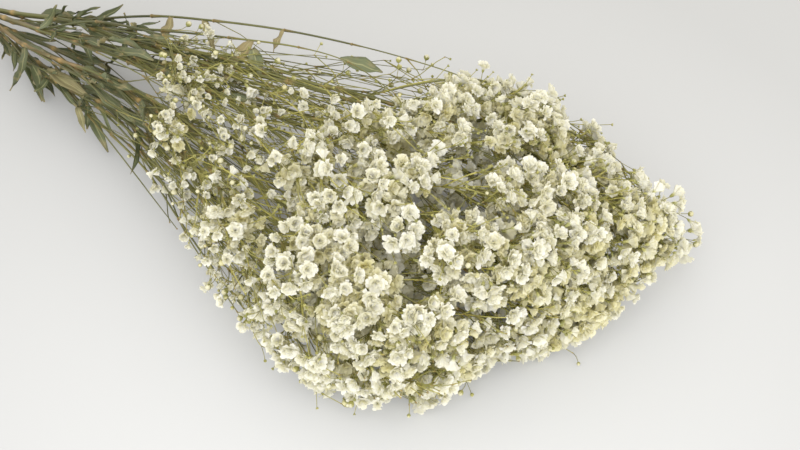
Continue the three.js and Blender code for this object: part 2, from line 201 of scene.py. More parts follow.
def half_width(s):
    below = mix(BUTT_HALF_WIDTH, BAND_BUNDLE, ease(0, BAND_FROM, s))
    above = (
        BAND_BUNDLE
        + (NECK_HALF_WIDTH - BAND_BUNDLE) * ease(BAND_TO, NECK_AT, s)
        + (HEAD_HALF_WIDTH - NECK_HALF_WIDTH) * ease(*HEAD_OPENS, s)
        - HEAD_TAPER * ease(HEAD_TAPERS_FROM, BUNCH_LENGTH, s)
    )
    return np.where(s < BAND_FROM, below, above)


def half_height(s):
    below = mix(BUTT_HALF_HEIGHT, BAND_BUNDLE, ease(0, BAND_FROM, s))
    t = np.clip((s - BAND_TO) / (BUNCH_LENGTH - BAND_TO), 0, 1)
    above = BAND_BUNDLE + (HEAD_HALF_HEIGHT - BAND_BUNDLE) * np.sin(HEAD_ROUNDING * t) ** 1.2
    return np.where(s < BAND_FROM, below, above)


def middle_height(s):
    lift = ARCH * np.sin(np.pi * np.clip(s / ARCH_TO, 0, 1))
    butt_height = half_height(s) * LOWEST_STEM + STEM_RADIUS - BUTT_FLAT
    return mix(butt_height, half_height(s), ease(0, HEAD_LIES_FROM, s)) + lift


def place(s, u, v):
    s, u, v = np.broadcast_arrays(s, u, v)
    return np.stack([s, u * half_width(s), middle_height(s) + v * half_height(s)], axis=-1)


def share_of(point):
    """The shares u and v of a point, the inverse of place."""
    s = point[..., 0]
    return point[..., 1] / half_width(s), (point[..., 2] - middle_height(s)) / half_height(s)


def from_heart(point, u, v):
    """The way to a point from the heart of the bunch behind it."""
    return point - place(point[..., 0], u * HEART, v * HEART)


def front(u, v):
    """How far forward the head reaches there: furthest on the +Y side, and least at the top."""
    fall = np.where(v > 0, FRONT_ROUNDING["top"], FRONT_ROUNDING["bottom"])
    middle = BUNCH_LENGTH - FRONT_SETBACK + FRONT_SLANT * u
    return middle - FRONT_ROUNDING["side"] * u * u - fall * v * v


SEATS = np.array([polar(stem["out"], math.radians(stem["turn"])) for stem in STEMS])


def room_in(i, s, u, v):
    """How far inside stem number i's share a place lies, in millimetres. Negative is outside."""
    w, h = half_width(s), half_height(s)
    room = np.full(np.shape(s), np.inf)
    for j, other in enumerate(SEATS):
        if j == i:
            continue
        nu, nv = other - SEATS[i]
        mu, mv = (other + SEATS[i]) / 2
        room = np.minimum(room, -((u - mu) * nu + (v - mv) * nv) / np.hypot(nu / w, nv / h))
    return room


def owner_of(u, v):
    apart = (np.asarray(u)[..., None] - SEATS[:, 0]) ** 2
    apart = apart + (np.asarray(v)[..., None] - SEATS[:, 1]) ** 2
    return np.argmin(apart, axis=-1)


# ---- Growth that the solids share -------------------------------------------
def stem_share(i, s):
    turn, out = STEMS[i]["turn"], STEMS[i]["out"]
    reach = out - STEM_GATHER * ease(BAND_TO, 330, s) + STEM_FLARE * ease(430, 600, s)
    if out < 0.5:
        reach = out
    sway = STEM_SWAY["degrees"] * ease(150, 300, s) * np.sin(s / STEM_SWAY["wave"] + i * 1.9)
    angle = np.radians(turn + sway)
    return reach * np.cos(angle), reach * np.sin(angle)


def grow_stem(i):
    """A stem's joints, from its cut end to its tip."""
    roll = dice(SEEDS["stem"] + i)
    tip = float(front(*SEATS[i])) - mix(*STEM_TIP_SETBACK, roll())
    joints = round((tip - BAND_TO) / STEM_STATION)
    stations = [STEMS[i]["butt"], BAND_FROM / 2, BAND_FROM]
    stations += [mix(BAND_TO, tip, k / joints) for k in range(joints + 1)]
    line = []
    for s in stations:
        radius = mix(STEM_RADIUS, STEM_TIP_RADIUS, float(ease(STEM_TAPERS_FROM, tip, s)))
        line.append({"at": place(s, *stem_share(i, s)), "radius": radius, "florets": []})
    return line


def direction_at(line, k):
    before = line[max(0, k - 1)]["at"]
    after = line[min(len(line) - 1, k + 1)]["at"]
    return unit(after - before)


def spread_florets():
    """The solids' florets, each of which is a cluster of flowers here."""
    roll = dice(SEEDS["florets"])
    squareness = 2.5
    draws = np.array([roll() for _ in range(5 * FLORET_TRIES)]).reshape(-1, 5).T
    s = mix(FIRST_FLORET_AT, BUNCH_LENGTH - 4, draws[0] ** 0.7)
    turn = 2 * np.pi * draws[1]
    out = np.sqrt(mix(np.where(draws[2] < INNER_SHARE, 0.02, 0.6), 1, draws[3]))
    rounding = np.abs(np.cos(turn)) ** squareness + np.abs(np.sin(turn)) ** squareness
    reach = out / rounding ** (1 / squareness)
    u, v = reach * np.cos(turn), reach * np.sin(turn)
    at = place(s, u, v)
    stem = owner_of(u, v)
    room = np.choose(stem, [room_in(i, s, u, v) for i in range(len(STEMS))])
    radius = np.minimum((room - CLEARANCE) / PETAL_REACH, mix(*FLORET_RADIUS, draws[4]))
    spacing = mix(*FLORET_SPACING, ease(FIRST_FLORET_AT, DENSE_FROM, s))
    outward = unit(from_heart(at, u, v))
    fits = (s <= front(u, v)) & (at[:, 2] >= radius * 0.5) & (radius >= FLORET_RADIUS[0])
    found, spots, sizes = [], np.zeros((0, 3)), np.zeros(0)
    for k in np.flatnonzero(fits):
        if len(found) == FLORET_COUNT:
            break
        if (np.linalg.norm(spots - at[k], axis=1) < spacing[k] * (sizes + radius[k])).any():
            continue
        found.append({"stem": stem[k], "at": at[k], "outward": outward[k], "radius": radius[k]})
        spots = np.vstack([spots, at[k]])
        sizes = np.append(sizes, radius[k])
    return found


def gap_to(points, start, end):
    """The distance from each point to the line between two others, which may be arrays too."""
    along = end - start
    t = np.sum((points - start) * along, axis=-1) / np.sum(along * along, axis=-1)
    nearest = start + along * np.clip(t, 0, 1)[..., None]
    return np.linalg.norm(points - nearest, axis=-1)


def join_floret(line, floret):
    """A floret grows from the joint behind it with the shortest, straightest stalk."""
    others = [(joint, other) for joint in line for other in joint["florets"]]
    feet = np.array([joint["at"] for joint, _ in others]).reshape(-1, 3)
    spots = np.array([other["at"] for _, other in others]).reshape(-1, 3)
    sizes = np.array([other["radius"] for _, other in others])
    bend_cost = 1.6
    best = None
    for k, joint in enumerate(line):
        stalk = floret["at"] - joint["at"]
        length = np.linalg.norm(stalk)
        if not FIRST_SPRAY_AT <= joint["at"][0] <= floret["at"][0] - SHORTEST_STALK:
            continue
        cost = length * (1 + bend_cost * (1 - stalk @ direction_at(line, k) / length))
        if best and cost > best[0]:
            continue
        if (gap_to(spots, joint["at"], floret["at"]) < sizes * 0.8).any():
            continue
        best = (cost, joint)
    if not best:
        return
    if (gap_to(floret["at"][None], feet, spots) < floret["radius"] * 0.8).any():
        return
    best[1]["florets"].append(floret)


def widest_gap(angles):
    """The middle of the widest gap between angles in rising order."""
    best_gap, best_start = -1, 0
    for k, angle in enumerate(angles):
        gap = angle - (angles[k - 1] if k else angles[-1] - 2 * math.pi)
        if gap > best_gap:
            best_gap, best_start = gap, angle - gap / 2
    return best_start


def grow_spray(origin, florets):
    """A spray forks and forks again until each end carries one floret."""
    if len(florets) == 1:
        return {"at": florets[0]["at"], "floret": florets[0], "limbs": []}
    middle = sum(floret["at"] for floret in florets) / len(florets)
    axis = unit(middle - origin)
    nearest = min((floret["at"] - origin) @ axis for floret in florets)
    halfway = 0.5 * np.linalg.norm(middle - origin)
    at = origin + axis * max(0.3 * nearest, min(halfway, nearest - FORK_SETBACK))
    side, up = across(axis)
    turns = [math.atan2((f["at"] - at) @ up, (f["at"] - at) @ side) for f in florets]
    start = widest_gap(sorted(turns))
    sectors = [[], [], []]
    for floret, turn in zip(florets, turns):
        share = ((turn - start + 4 * math.pi) % (2 * math.pi)) / (2 * math.pi)
        sectors[min(2, int(3 * share))].append(floret)
    return {"at": at, "floret": None, "limbs": [grow_spray(at, part) for part in sectors if part]}


def leaf_spine(leaf, t):
    """Points along the middle of a leaf, which falls away from its heading towards its tip."""
    t = np.asarray(t, float)[..., None]
    way = leaf["heading"] * t + leaf["droop"] * LEAF_DROOP * t * t
    return leaf["foot"] + leaf["length"] * way


def leaf_edges(leaf):
    """The points of a leaf's solid past its foot: two sections of four points, and the tip."""
    up = across(leaf["heading"])[1]
    points = []
    for t, width in LEAF_SECTIONS:
        direction = unit(leaf_spine(leaf, t + 0.02) - leaf_spine(leaf, t - 0.02))
        side = unit(np.cross(up, direction))
        face = np.cross(direction, side)
        half = LEAF_HALF_WIDTH * width
        middle = leaf_spine(leaf, t)
        points += [middle + side * half + face * 0.3 * half, middle + face * LEAF_THICKNESS / 2]
        points += [middle - side * half + face * 0.3 * half, middle - face * LEAF_THICKNESS / 2]
    return np.array(points + [leaf_spine(leaf, 1)])


def grow_leaves(i, line):
    """The leaves of a stem's solid, at the joints of its bare part."""
    roll = dice(SEEDS["leaves"] + i)
    joints = [k for k, joint in enumerate(line) if FIRST_LEAF_AT < joint["at"][0] < LAST_LEAF_AT]
    leaves = []
    for _ in range(LEAF_TRIES):
        if len(leaves) == STEMS[i]["leaves"]:
            break
        k = joints[int(len(joints) * roll())]
        along = direction_at(line, k)
        side, up = across(along)
        turn = math.radians(STEMS[i]["turn"] + mix(*LEAF_TURN, roll()))
        outward = side * math.cos(turn) + up * math.sin(turn)
        heading = unit(along + outward * mix(*LEAF_LEAN, roll()))
        droop = outward * mix(*LEAF_BENDS["outward"], roll())
        droop = droop + side * mix(*LEAF_BENDS["sideways"], roll())
        leaf = {"joint": k, "foot": line[k]["at"], "heading": heading, "droop": droop}
        leaf["length"] = mix(*LEAF_LENGTH, roll())
        points = leaf_edges(leaf)
        inside = room_in(i, points[:, 0], *share_of(points)) > CLEARANCE
        others = [other["heading"] for other in leaves if other["joint"] == k]
        near = any(math.acos(other @ heading) <= LEAVES_APART for other in others)
        if inside.all() and (points[:, 2] > 1).all() and not near:
            leaves.append(leaf)
    return leaves


# ---- Growth that only the dressed bunch has ---------------------------------
# Twigs, flowers and buds are gathered for each stem first, and turned into meshes afterwards.
# Angles are in degrees. A pair is the least and the most of what is drawn, or a bare twig's
# radii at its start and its end, and a list holds equally likely values.
FLOWER_RADIUS = 5.4
FLOWER_CALYX = 2.0  # from a flower's throat back to the end of its stalk, at full size
FLOWER_STALK = {"lean": (10, 46), "length": (7.5, 12.5), "size": (0.7, 1.12)}
BUD_STALK = {"lean": (12, 70), "length": (5, 13), "radius": [0.9, 1.2, 1.9], "size": (0.85, 1.05)}
NEXT_STALK = 2.4  # the turn in radians from one flower's stalk at a fork to the next
FIRST_BUD_AT = 296
SMALL_BUD = 1.05  # below this radius a bud is still shut inside its green cup
PEDICEL_RADIUS = 0.25
TWIG_TIP_RADIUS = 0.31
BRANCH_TIP_RADIUS = 0.36
THINNER = 0.75  # the radius of a side twig, as a share of what it leaves
TWIG_STEP = {"branch": 8, "filler": 9}
FLOWERING = (382, 500)  # the stretch of s over which flowering goes from none to full

# The flowers in place of a floret of the solids. They stand one in the middle and the others
# round it, at shares of the floret's radius.
CLUSTER = {
    "neck": 0.35,  # how far behind the floret's middle the cluster's own middle is
    "fork": 9,  # how far behind that its stalks fork, at most, in millimetres
    "flowers_per_mm": 0.68,
    "middle": {"reach": 0.1, "lift": (0.4, 0.8), "outward": 0.1},
    "round": {"reach": (0.45, 0.95), "lift": (-0.3, 0.6), "outward": 0.5},
    "askew": 0.2,  # the share of flowers that look another way
    "size": (0.74, 1.1),
    "young_size": 0.74,
    "buds": [0, 0, 1, 2],
}
# Side twigs of the long branches. They turn further inwards where the head is full.
LATERAL = {"lean": (22, 48), "length": (18, 42), "inward": (0.25, 0.7), "inward_over": (440, 520)}
# Long side branches that leave each stem in its lower half.
RUNNER = {
    "count": 5, "from": (150, 290), "to": (330, 520), "reach": (0.5, 0.97),
    "joint_every": (32, 48), "wander": 1.3, "radius": (0.7, 1.0), "bears_from": 285,
}
# Short side shoots low on each stem, which bear leaves and buds.
SHOOT = {
    "count": 3, "from": (128, 205), "length": (60, 130), "turn": (-60, 60),
    "reach": (0.75, 1.12), "radius": (0.55, 0.9), "leafy": 0.45, "leaf": (10, 24),
}
SHOOT_JOINTS = 3
LEAF_PAIR = {"lean": (18, 55), "droop": 0.5, "size": (0.75, 1.1)}
LEAF_WIDTHS = (0.85, 1.45)
LEAF_AGES = [0.0, 0.05, 0.1, 0.2, 0.4, 0.7]
# Bare twigs inside the head, on each stem.
THATCH = {
    "count": 70, "from": (250, 440), "length": (40, 95), "reach": (0.0, 0.8),
    "radii": (0.42, 0.26),
}
# The joint that a new twig grows from: how far off it may be, how far forward the twig must
# point, what a bend costs, and how much chance weighs.
TWIG_REACH = (20, 150)
TWIG_FORWARD = 0.5
BEND_COST = 2.2
CHANCE = (0.8, 1.25)
# Hair-thin twigs over the outside of the head.
WISP = {
    "count": 380, "over": (350, 620), "half_turns": (-0.1, 1.1), "reach": (0.95, 1.1),
    "setback": 6, "radii": (0.4, 0.3), "kept_off_edges": 0.85,
    "buds": (1, 3), "lean": (12, 45), "stalk": (6, 15), "bud": (0.7, 1.0),
}
# Twigs that end in a small fork of flowers.
FILLER = {"fork": 9, "radii": (0.34, 0.6), "joint": 0.4, "joint_every": 24}
FILLED_FROM = 284
CLEAR_OF_TABLE = 5  # the least height of their tips, in most of the head
OUTER_FILLERS = {"count": 470, "reach": (0.62, 0.99), "flowers": [2, 2, 3, 3]}
INNER_FILLERS = {"count": 240, "reach": (0.1, 0.66), "flowers": [1, 2, 2]}
CLUMP_FILLERS = {"count": 13, "spread": (9, 0.09, 0.1)}  # in each clump
YOUNG_FILLERS = {
    "count": 170, "from": (350, 480), "half_turns": (0.1, 1.25), "reach": (0.7, 1.0),
    "in_clumps": 0.13, "clump_spread": (5, 0.1, 0.05), "size": 0.66,
}
FRONT_FILLERS = {"count": 150, "reach": 0.95, "setback": (3, 24), "lowest": 6}
RIM_FILLERS = {"count": 34, "in": (0, 6), "under": (0, 16), "second_stem_until": 560}
FOOT_FILLERS = {
    "count": 150, "u": (-0.97, 0.6), "height": (6, 46), "setback": (2, 16),
    "side": -0.7, "side_from": 505, "tucked_below": 30, "tuck": 0.5,
}
FULL_CLUSTERS = [2, 3, 3]

# Branches along the outline: the stem that each leaves, its radius, the distance s from which it
# bears side twigs, and its joints as s, y, z.
EDGE_BRANCHES = (
    (0, 1.05, 430, ((260, 44, 55), (310, 54, 70), (360, 68, 78), (410, 75, 88), (450, 78, 96),
                    (490, 80, 102), (520, 90, 92))),
    (1, 1.0, 425, ((280, 34, 60), (330, 46, 72), (380, 58, 82), (420, 58, 92), (465, 44, 104))),
    (0, 0.9, 300, ((480, 98, 62), (530, 104, 54), (580, 107, 44), (640, 103, 30))),
    (5, 1.1, 300, ((205, -15, 12), (255, -26, 14), (300, -32, 18), (340, -43, 14), (375, -62, 12),
                   (440, -88, 10))),
    (4, 1.0, 300, ((240, -24, 24), (290, -36, 26), (330, -45, 24), (372, -62, 24), (420, -80, 24),
                   (470, -96, 24), (515, -106, 22))),
    (7, 1.0, 300, ((240, 30, 20), (300, 50, 18), (360, 72, 16), (420, 90, 16), (480, 104, 16))),
    (2, 0.9, 300, ((250, 6, 74), (310, 10, 92), (370, 14, 104), (430, 20, 110))),
    (1, 0.85, 300, ((490, 85, 96), (530, 100, 86), (560, 105, 76), (590, 105, 66))),
    (0, 0.8, 300, ((540, 104, 70), (590, 108, 58), (630, 106, 45))),
)
LAST_JOINT_BEFORE = 25  # such a branch leaves its stem at least this far behind its first joint

# How far out the rim of the head runs on the +Y side, as s, y, z, and how far forward the head
# reaches where it is lowest, as the share u and the distance s.
RIM = np.array([(490, 85, 97), (525, 107, 90), (570, 110, 70), (645, 105, 40)])
FOOT_REACH = np.array([(-1, 550), (-0.7, 582), (-0.4, 590), (0, 622), (0.5, 636), (1, 650)])
FOOT_TUCK = {"below": 30, "slope": 0.67}  # below this height the front draws back
SIDE_ALLOWANCE = {"from": 0.6, "by": 12}  # past this share u it may reach further
CORNER = {"past": -0.87, "from": 540}  # no flowers past this share u, from this s on
# Few flowers stand so near the front, or past this share u up to this s.
THIN_EDGE = {"depth": 6, "past": -0.8, "until": 470}
# Where the dense head ends on its upper +Y side and on its low -Y side: flowers keep within both
# lines, whose points are distances along the two directions below.
EDGE_ALONG = np.array((0.819, 0.574, 0.0))
EDGE_UP = np.array((-0.464, 0.663, 0.588))
UPPER_EDGE = np.array(
    [(305, -118), (360, -128), (415, -136), (440, -115), (500, -118), (515, -142), (545, -158)]
    + [(580, -204)]
)
LOWER_EDGE = np.array(
    [(255, -175), (300, -240), (365, -295), (430, -303), (520, -265), (570, -220)]
)
EDGE_MARGIN = 5  # how far past the lines a flower's middle may stand
WIDEST = 122  # how far from the middle a flower or bud may stand on either side

# Where flowers gather in dense clumps, and where the head is open down to its twigs: s and the
# shares u and v.
CLUMPS = (
    (470, 0.1, 0.9), (480, 0.4, 0.9), (500, 0.6, 0.8), (540, 0.6, 0.8), (540, 0.8, 0.6),
    (450, -0.3, 0.9), (500, -0.1, 0.9), (550, -0.2, 0.9), (490, -0.6, 0.8), (440, -0.8, 0.6),
    (520, -0.7, 0.7), (550, -0.7, 0.7), (540, -0.9, 0.3), (570, -0.8, 0.5), (590, -0.6, 0.5),
    (590, 0.1, 0.9), (570, 0.3, 0.9), (620, 0.1, 0.5), (620, 0.6, 0.7), (590, -0.2, 0.8),
    (630, 0.8, 0.5), (600, 0.8, 0.5), (610, -0.3, 0.3), (620, 0, 0.2), (570, -0.9, 0),
    (590, -0.7, 0),
)
HOLLOWS = (
    (530, 0, 0.9), (540, -0.5, 0.9), (500, 0.1, 0.9), (570, 0, 0.9), (570, 0.5, 0.8),
    (460, -0.7, 0.7), (580, -0.4, 0.8),
)
HOLLOW_SPOTS = [place(*hollow) for hollow in HOLLOWS]
HOLLOW_REACH = 15
YOUNG_CLUMPS = ((310, 0.7, 0.7), (330, 0.1, 0.9), (340, -0.2, 0.9), (360, -0.6, 0.8))

# Buds that stand clear of the rest on long stalks, as s, y, z.
STRAY_BUDS = ((630, 10, 5), (480, 90, 110))


def curve(start, leaving, end, arriving, steps):
    """A smooth line between two points, with the directions it leaves and arrives in."""
    reach = 0.34 * np.linalg.norm(end - start)
    t = np.linspace(0, 1, steps + 1)[:, None]
    first, second = start + leaving * reach, end - arriving * reach
    return (
        start * (1 - t) ** 3
        + first * 3 * t * (1 - t) ** 2
        + second * 3 * t * t * (1 - t)
        + end * t**3
    )


def rolled(random, spread):
    """A small random vector."""
    return random.normal(0, spread, 3)


def leaning(axis, turn, lean):
    """A direction that leans from an axis, turned round it."""
    side, up = across(axis)
    out = side * math.cos(turn) + up * math.sin(turn)
    return axis * math.cos(lean) + out * math.sin(lean)


def leaning_any_way(random, axis, degrees):
    """A direction that leans from an axis by an angle drawn from a pair, to any side."""
    lean = math.radians(random.uniform(*degrees))
    return leaning(axis, any_turn(random), lean)


def vigour(s):
    """How far flowering has come there, from 0 near the cut ends to 1 in the head."""
    return float(ease(*FLOWERING, s))


def is_outside(at):
    """Whether a place is past the outline that flowers keep to: at the foot of the front and on
    the -Y side the head is rounder than its solids' outline."""
    u, _ = share_of(at)
    reach = np.interp(u, *FOOT_REACH.T) + FOOT_TUCK["slope"] * min(0, at[2] - FOOT_TUCK["below"])
    reach += SIDE_ALLOWANCE["by"] * float(u > SIDE_ALLOWANCE["from"])
    if abs(at[1]) > WIDEST or at[0] > reach or u < -1.0:
        return True
    if u < CORNER["past"] and at[0] > CORNER["from"]:
        return True
    return is_past_edges(at, EDGE_MARGIN)


def is_past_edges(at, margin):
    """Whether a place is above the head's upper edge or below its lower one."""
    along, up = at @ EDGE_ALONG, at @ EDGE_UP
    for edge, sign in ((UPPER_EDGE, 1), (LOWER_EDGE, -1)):
        if along > edge[0, 0] and sign * (up - np.interp(along, *edge.T)) > margin:
            return True
    return False


def is_in_hollow(at):
    """Whether a place is where the head is open down to its twigs."""
    return any(np.linalg.norm(at - spot) < HOLLOW_REACH for spot in HOLLOW_SPOTS)


def is_thin_edge(at):
    """Whether a place is on the head's front or outer edge on the -Y side, with few flowers."""
    u, _ = share_of(at)
    beside = u < THIN_EDGE["past"] and at[0] < THIN_EDGE["until"]
    return is_outside(at + (THIN_EDGE["depth"], 0, 0)) or beside


class Growth:
    """What one stem carries: its twigs, flowers and buds, and the joints new twigs can leave."""

    def __init__(self, i, line):
        self.number = i
        self.line = line
        self.random = np.random.default_rng(SEEDS["growth"] + i)
        self.twigs, self.flowers, self.buds, self.joints, self.leaves = [], [], [], [], []

    def add_twig(self, path, radii, swollen=True):
        """A twig along a path, with its radii at both ends, swollen at its joints or not."""
        path[:, 2] = np.maximum(path[:, 2], radii[1])
        tone = self.random.random()
        self.twigs.append({"path": path, "radii": radii, "tone": tone, "swollen": swollen})

    def add_joint(self, at, direction, radius):
        self.joints.append({"at": at, "direction": direction, "radius": radius})

    def add_stalk(self, fork, axis, foot, facing):
        leaving = unit(axis + unit(foot - fork))
        path = curve(fork, leaving, foot, facing, 2)
        self.add_twig(path, (PEDICEL_RADIUS, PEDICEL_RADIUS), False)

    def add_flower(self, fork, axis, spot, facing, radius):
        spot = spot + (0, 0, max(0, radius * 0.75 - spot[2]))
        if is_outside(spot):
            return
        scale = radius / FLOWER_RADIUS
        self.add_stalk(fork, axis, spot - facing * FLOWER_CALYX * scale, facing)
        self.flowers.append({"at": spot, "facing": facing, "scale": scale})

    def add_bud(self, fork, axis, way, length, radius):
        at = fork + way * length
        at[2] = max(at[2], radius)
        if abs(at[1]) > WIDEST:
            return
        facing = unit(way + rolled(self.random, 0.2))
        self.add_stalk(fork, axis, at - facing * radius, facing)
        self.buds.append({"at": at, "facing": facing, "radius": radius})

    def add_buds(self, fork, axis, count):
        random = self.random
        if fork[0] < FIRST_BUD_AT:
            return
        for _ in range(count):
            way = leaning_any_way(random, axis, BUD_STALK["lean"])
            size = random.choice(BUD_STALK["radius"]) * random.uniform(*BUD_STALK["size"])
            self.add_bud(fork, axis, way, random.uniform(*BUD_STALK["length"]), size)

    def fork_flowers(self, fork, axis, flower_count, bud_count, size=FLOWER_RADIUS):
        """A fork whose stalks bear a few flowers and buds."""
        random = self.random
        turn = any_turn(random)
        for _ in range(flower_count):
            turn += NEXT_STALK
            way = leaning(axis, turn, math.radians(random.uniform(*FLOWER_STALK["lean"])))
            spot = fork + way * random.uniform(*FLOWER_STALK["length"])
            facing = unit(way + axis * 0.3 + rolled(random, 0.2))
            radius = size * random.uniform(*FLOWER_STALK["size"])
            self.add_flower(fork, axis, spot, facing, radius)
        self.add_buds(fork, axis, bud_count)

    def dress_limb(self, start, leaving, limb, radius):
        """A limb of a spray of the solids, and what it carries."""
        axis = unit(limb["at"] - start)
        tip = max(TWIG_TIP_RADIUS, radius * THINNER)
        if limb["floret"] is not None:
            self.dress_floret(start, leaving, axis, limb["floret"], radius)
            return
        self.add_twig(curve(start, leaving, limb["at"], axis, 5), (radius, tip))
        self.add_joint(limb["at"], axis, tip)
        for part in limb["limbs"]:
            self.dress_limb(limb["at"], unit(axis + unit(part["at"] - limb["at"])), part, tip)

    def dress_floret(self, start, leaving, axis, floret, radius):
        """A tight cluster of flowers, and a few buds, in place of a floret of the solids."""
        random = self.random
        size = floret["radius"]
        young = 1 - vigour(floret["at"][0])
        facing = unit(axis * 1.3 + floret["outward"])
        neck = floret["at"] - axis * size * CLUSTER["neck"]
        back = min(CLUSTER["fork"], 0.5 * np.linalg.norm(neck - start))
        fork = neck - axis * back
        self.add_twig(curve(start, leaving, fork, axis, 5), (radius, TWIG_TIP_RADIUS))
        self.add_joint(fork, axis, TWIG_TIP_RADIUS)
        full = size * CLUSTER["flowers_per_mm"] + random.uniform(0, 1.2)
        count = round(0.4 + full * (1 - young) ** 1.3)
        if is_thin_edge(floret["at"]) or is_in_hollow(floret["at"]):
            count = min(count, int(random.integers(0, 2)))
        side, up = across(facing)
        turn = any_turn(random)
        for k in range(count):
            turn += 2 * np.pi / max(1, count - 1) + random.normal(0, 0.25)
            seat = CLUSTER["round" if k else "middle"]
            reach = size * (random.uniform(*seat["reach"]) if k else seat["reach"])
            lift = size * random.uniform(*seat["lift"])
            out = side * math.cos(turn) + up * math.sin(turn)
            spot = neck + facing * lift + out * reach
            looking = unit(facing + out * seat["outward"] + rolled(random, 0.3))
            if random.random() < CLUSTER["askew"]:
                looking = unit(looking + rolled(random, 0.7))
            width = FLOWER_RADIUS * random.uniform(*CLUSTER["size"])
            width *= mix(1, CLUSTER["young_size"], young)
            self.add_flower(fork, unit(axis + facing), spot, looking, width)
        self.add_buds(fork, unit(axis + facing), int(random.choice(CLUSTER["buds"])))

    def add_branch(self, stops, thick, bears_from):
        """A long side branch, jointed at each stop, with twigs that bear flowers and buds."""
        stops = np.array(stops, float)
        ways = unit(np.gradient(stops, axis=0))
        last = len(stops) - 1
        for k in range(last):
            steps = max(3, int(np.linalg.norm(stops[k + 1] - stops[k]) / TWIG_STEP["branch"]))
            path = curve(stops[k], ways[k], stops[k + 1], ways[k + 1], steps)
            radii = tuple(mix(thick, BRANCH_TIP_RADIUS, end / last) for end in (k, k + 1))
            self.add_twig(path, radii)
            self.add_joint(stops[k + 1], ways[k + 1], radii[1])
            if bears_from < stops[k + 1][0] and k < last - 1:
                self.add_lateral(stops[k + 1], ways[k + 1], radii[1])
        self.fork_flowers(stops[-1], ways[-1], 2, 2)

    def add_lateral(self, at, along, radius):
        """A side twig at a joint of a branch, which forks into flowers and buds."""
        random = self.random
        s = at[0]
        young = 1 - vigour(s)
        turn = any_turn(random)
        way = leaning(along, turn, math.radians(random.uniform(*LATERAL["lean"])))
        inward = unit(place(s + 20, 0, 0) - at)
        way = unit(way + inward * mix(*LATERAL["inward"], float(ease(*LATERAL["inward_over"], s))))
        tip = at + way * random.uniform(*LATERAL["length"])
        tip[2] = max(tip[2], 3)
        path = curve(at, unit(along + way), tip, unit(way + along * 0.6), 4)
        self.add_twig(path, (radius * THINNER, TWIG_TIP_RADIUS))
        self.add_joint(tip, way, TWIG_TIP_RADIUS)
        flowers = int(random.choice([0, 0, 1] if young > 0.5 else [1, 2, 2, 3]))
        size = FLOWER_RADIUS * mix(0.95, 0.7, young)
        self.fork_flowers(tip, way, flowers, int(random.integers(0, 3)), size)

    def seat_near(self, reach_lo, reach_hi):
        """A random place across the bunch in the stem's own share of it."""
        for _ in range(200):
            u, v = self.random.uniform(-1, 1, 2)
            if owner_of(u, v) == self.number and reach_lo < math.hypot(u, v) < reach_hi:
                return u, v
        return SEATS[self.number]

    def add_runner(self):
        """A long side branch that runs beside the stem and ends on the outside of the head."""
        random = self.random
        s0, s1 = random.uniform(*RUNNER["from"]), random.uniform(*RUNNER["to"])
        u0, v0 = stem_share(self.number, s0)
        u1, v1 = self.seat_near(*RUNNER["reach"])
        pieces = max(3, int((s1 - s0) / random.uniform(*RUNNER["joint_every"])))
        t = np.linspace(0, 1, pieces + 1)
        stops = place(mix(s0, s1, t), mix(u0, u1, t**0.8), mix(v0, v1, t**0.8))
        stops[1:, 1:] += random.normal(0, RUNNER["wander"], (pieces, 2))
        self.add_branch(stops, random.uniform(*RUNNER["radius"]), RUNNER["bears_from"])

    def add_shoot(self):
        """A short side shoot low on the stem that leans away from it, with leaves and buds."""
        random = self.random
        s0 = random.uniform(*SHOOT["from"])
        s1 = s0 + random.uniform(*SHOOT["length"])
        u0, v0 = stem_share(self.number, s0)
        turn = math.radians(STEMS[self.number]["turn"] + random.uniform(*SHOOT["turn"]))
        u1, v1 = polar(random.uniform(*SHOOT["reach"]), turn)
        t = np.linspace(0, 1, SHOOT_JOINTS + 1)
        stops = place(mix(s0, s1, t), mix(u0, u1, t), mix(v0, v1, t))
        stops[:, 2] = np.maximum(stops[:, 2], 1.5)
        ways = unit(np.gradient(stops, axis=0))
        thick = random.uniform(*SHOOT["radius"])
        for k in range(SHOOT_JOINTS):
            path = curve(stops[k], ways[k], stops[k + 1], ways[k + 1], 4)
            ends = (k / SHOOT_JOINTS, (k + 1) / SHOOT_JOINTS)
            self.add_twig(path, tuple(mix(thick, BRANCH_TIP_RADIUS, end) for end in ends))
            if random.random() < SHOOT["leafy"]:
                self.add_leaf_pair(stops[k + 1], ways[k + 1], random.uniform(*SHOOT["leaf"]))
        self.add_joint(stops[-1], ways[-1], BRANCH_TIP_RADIUS)
        self.add_buds(stops[-1], ways[-1], int(random.integers(0, 2)))

    def add_leaf_pair(self, at, along, length):
        """One or two leaves that face each other at a joint."""
        random = self.random
        turn = any_turn(random)
        for k in range(int(random.integers(1, 3))):
            lean = math.radians(random.uniform(*LEAF_PAIR["lean"]))
            way = leaning(along, turn + np.pi * k, lean)
            droop = rolled(random, LEAF_PAIR["droop"])
            self.add_leaf(at, way, droop, length * random.uniform(*LEAF_PAIR["size"]))

    def add_leaf(self, foot, heading, droop, length, width=None, age=None):
        """A leaf. One whose width is given is broad: it lies flatter than the others."""
        random = self.random
        leaf = {"foot": foot, "heading": heading, "droop": droop, "length": length}
        leaf["broad"] = width is not None
        if width is None:
            width = LEAF_HALF_WIDTH * random.uniform(*LEAF_WIDTHS) * min(1, length / 20)
        leaf["width"] = width
        leaf["age"] = random.choice(LEAF_AGES) if age is None else age
        self.leaves.append(leaf)

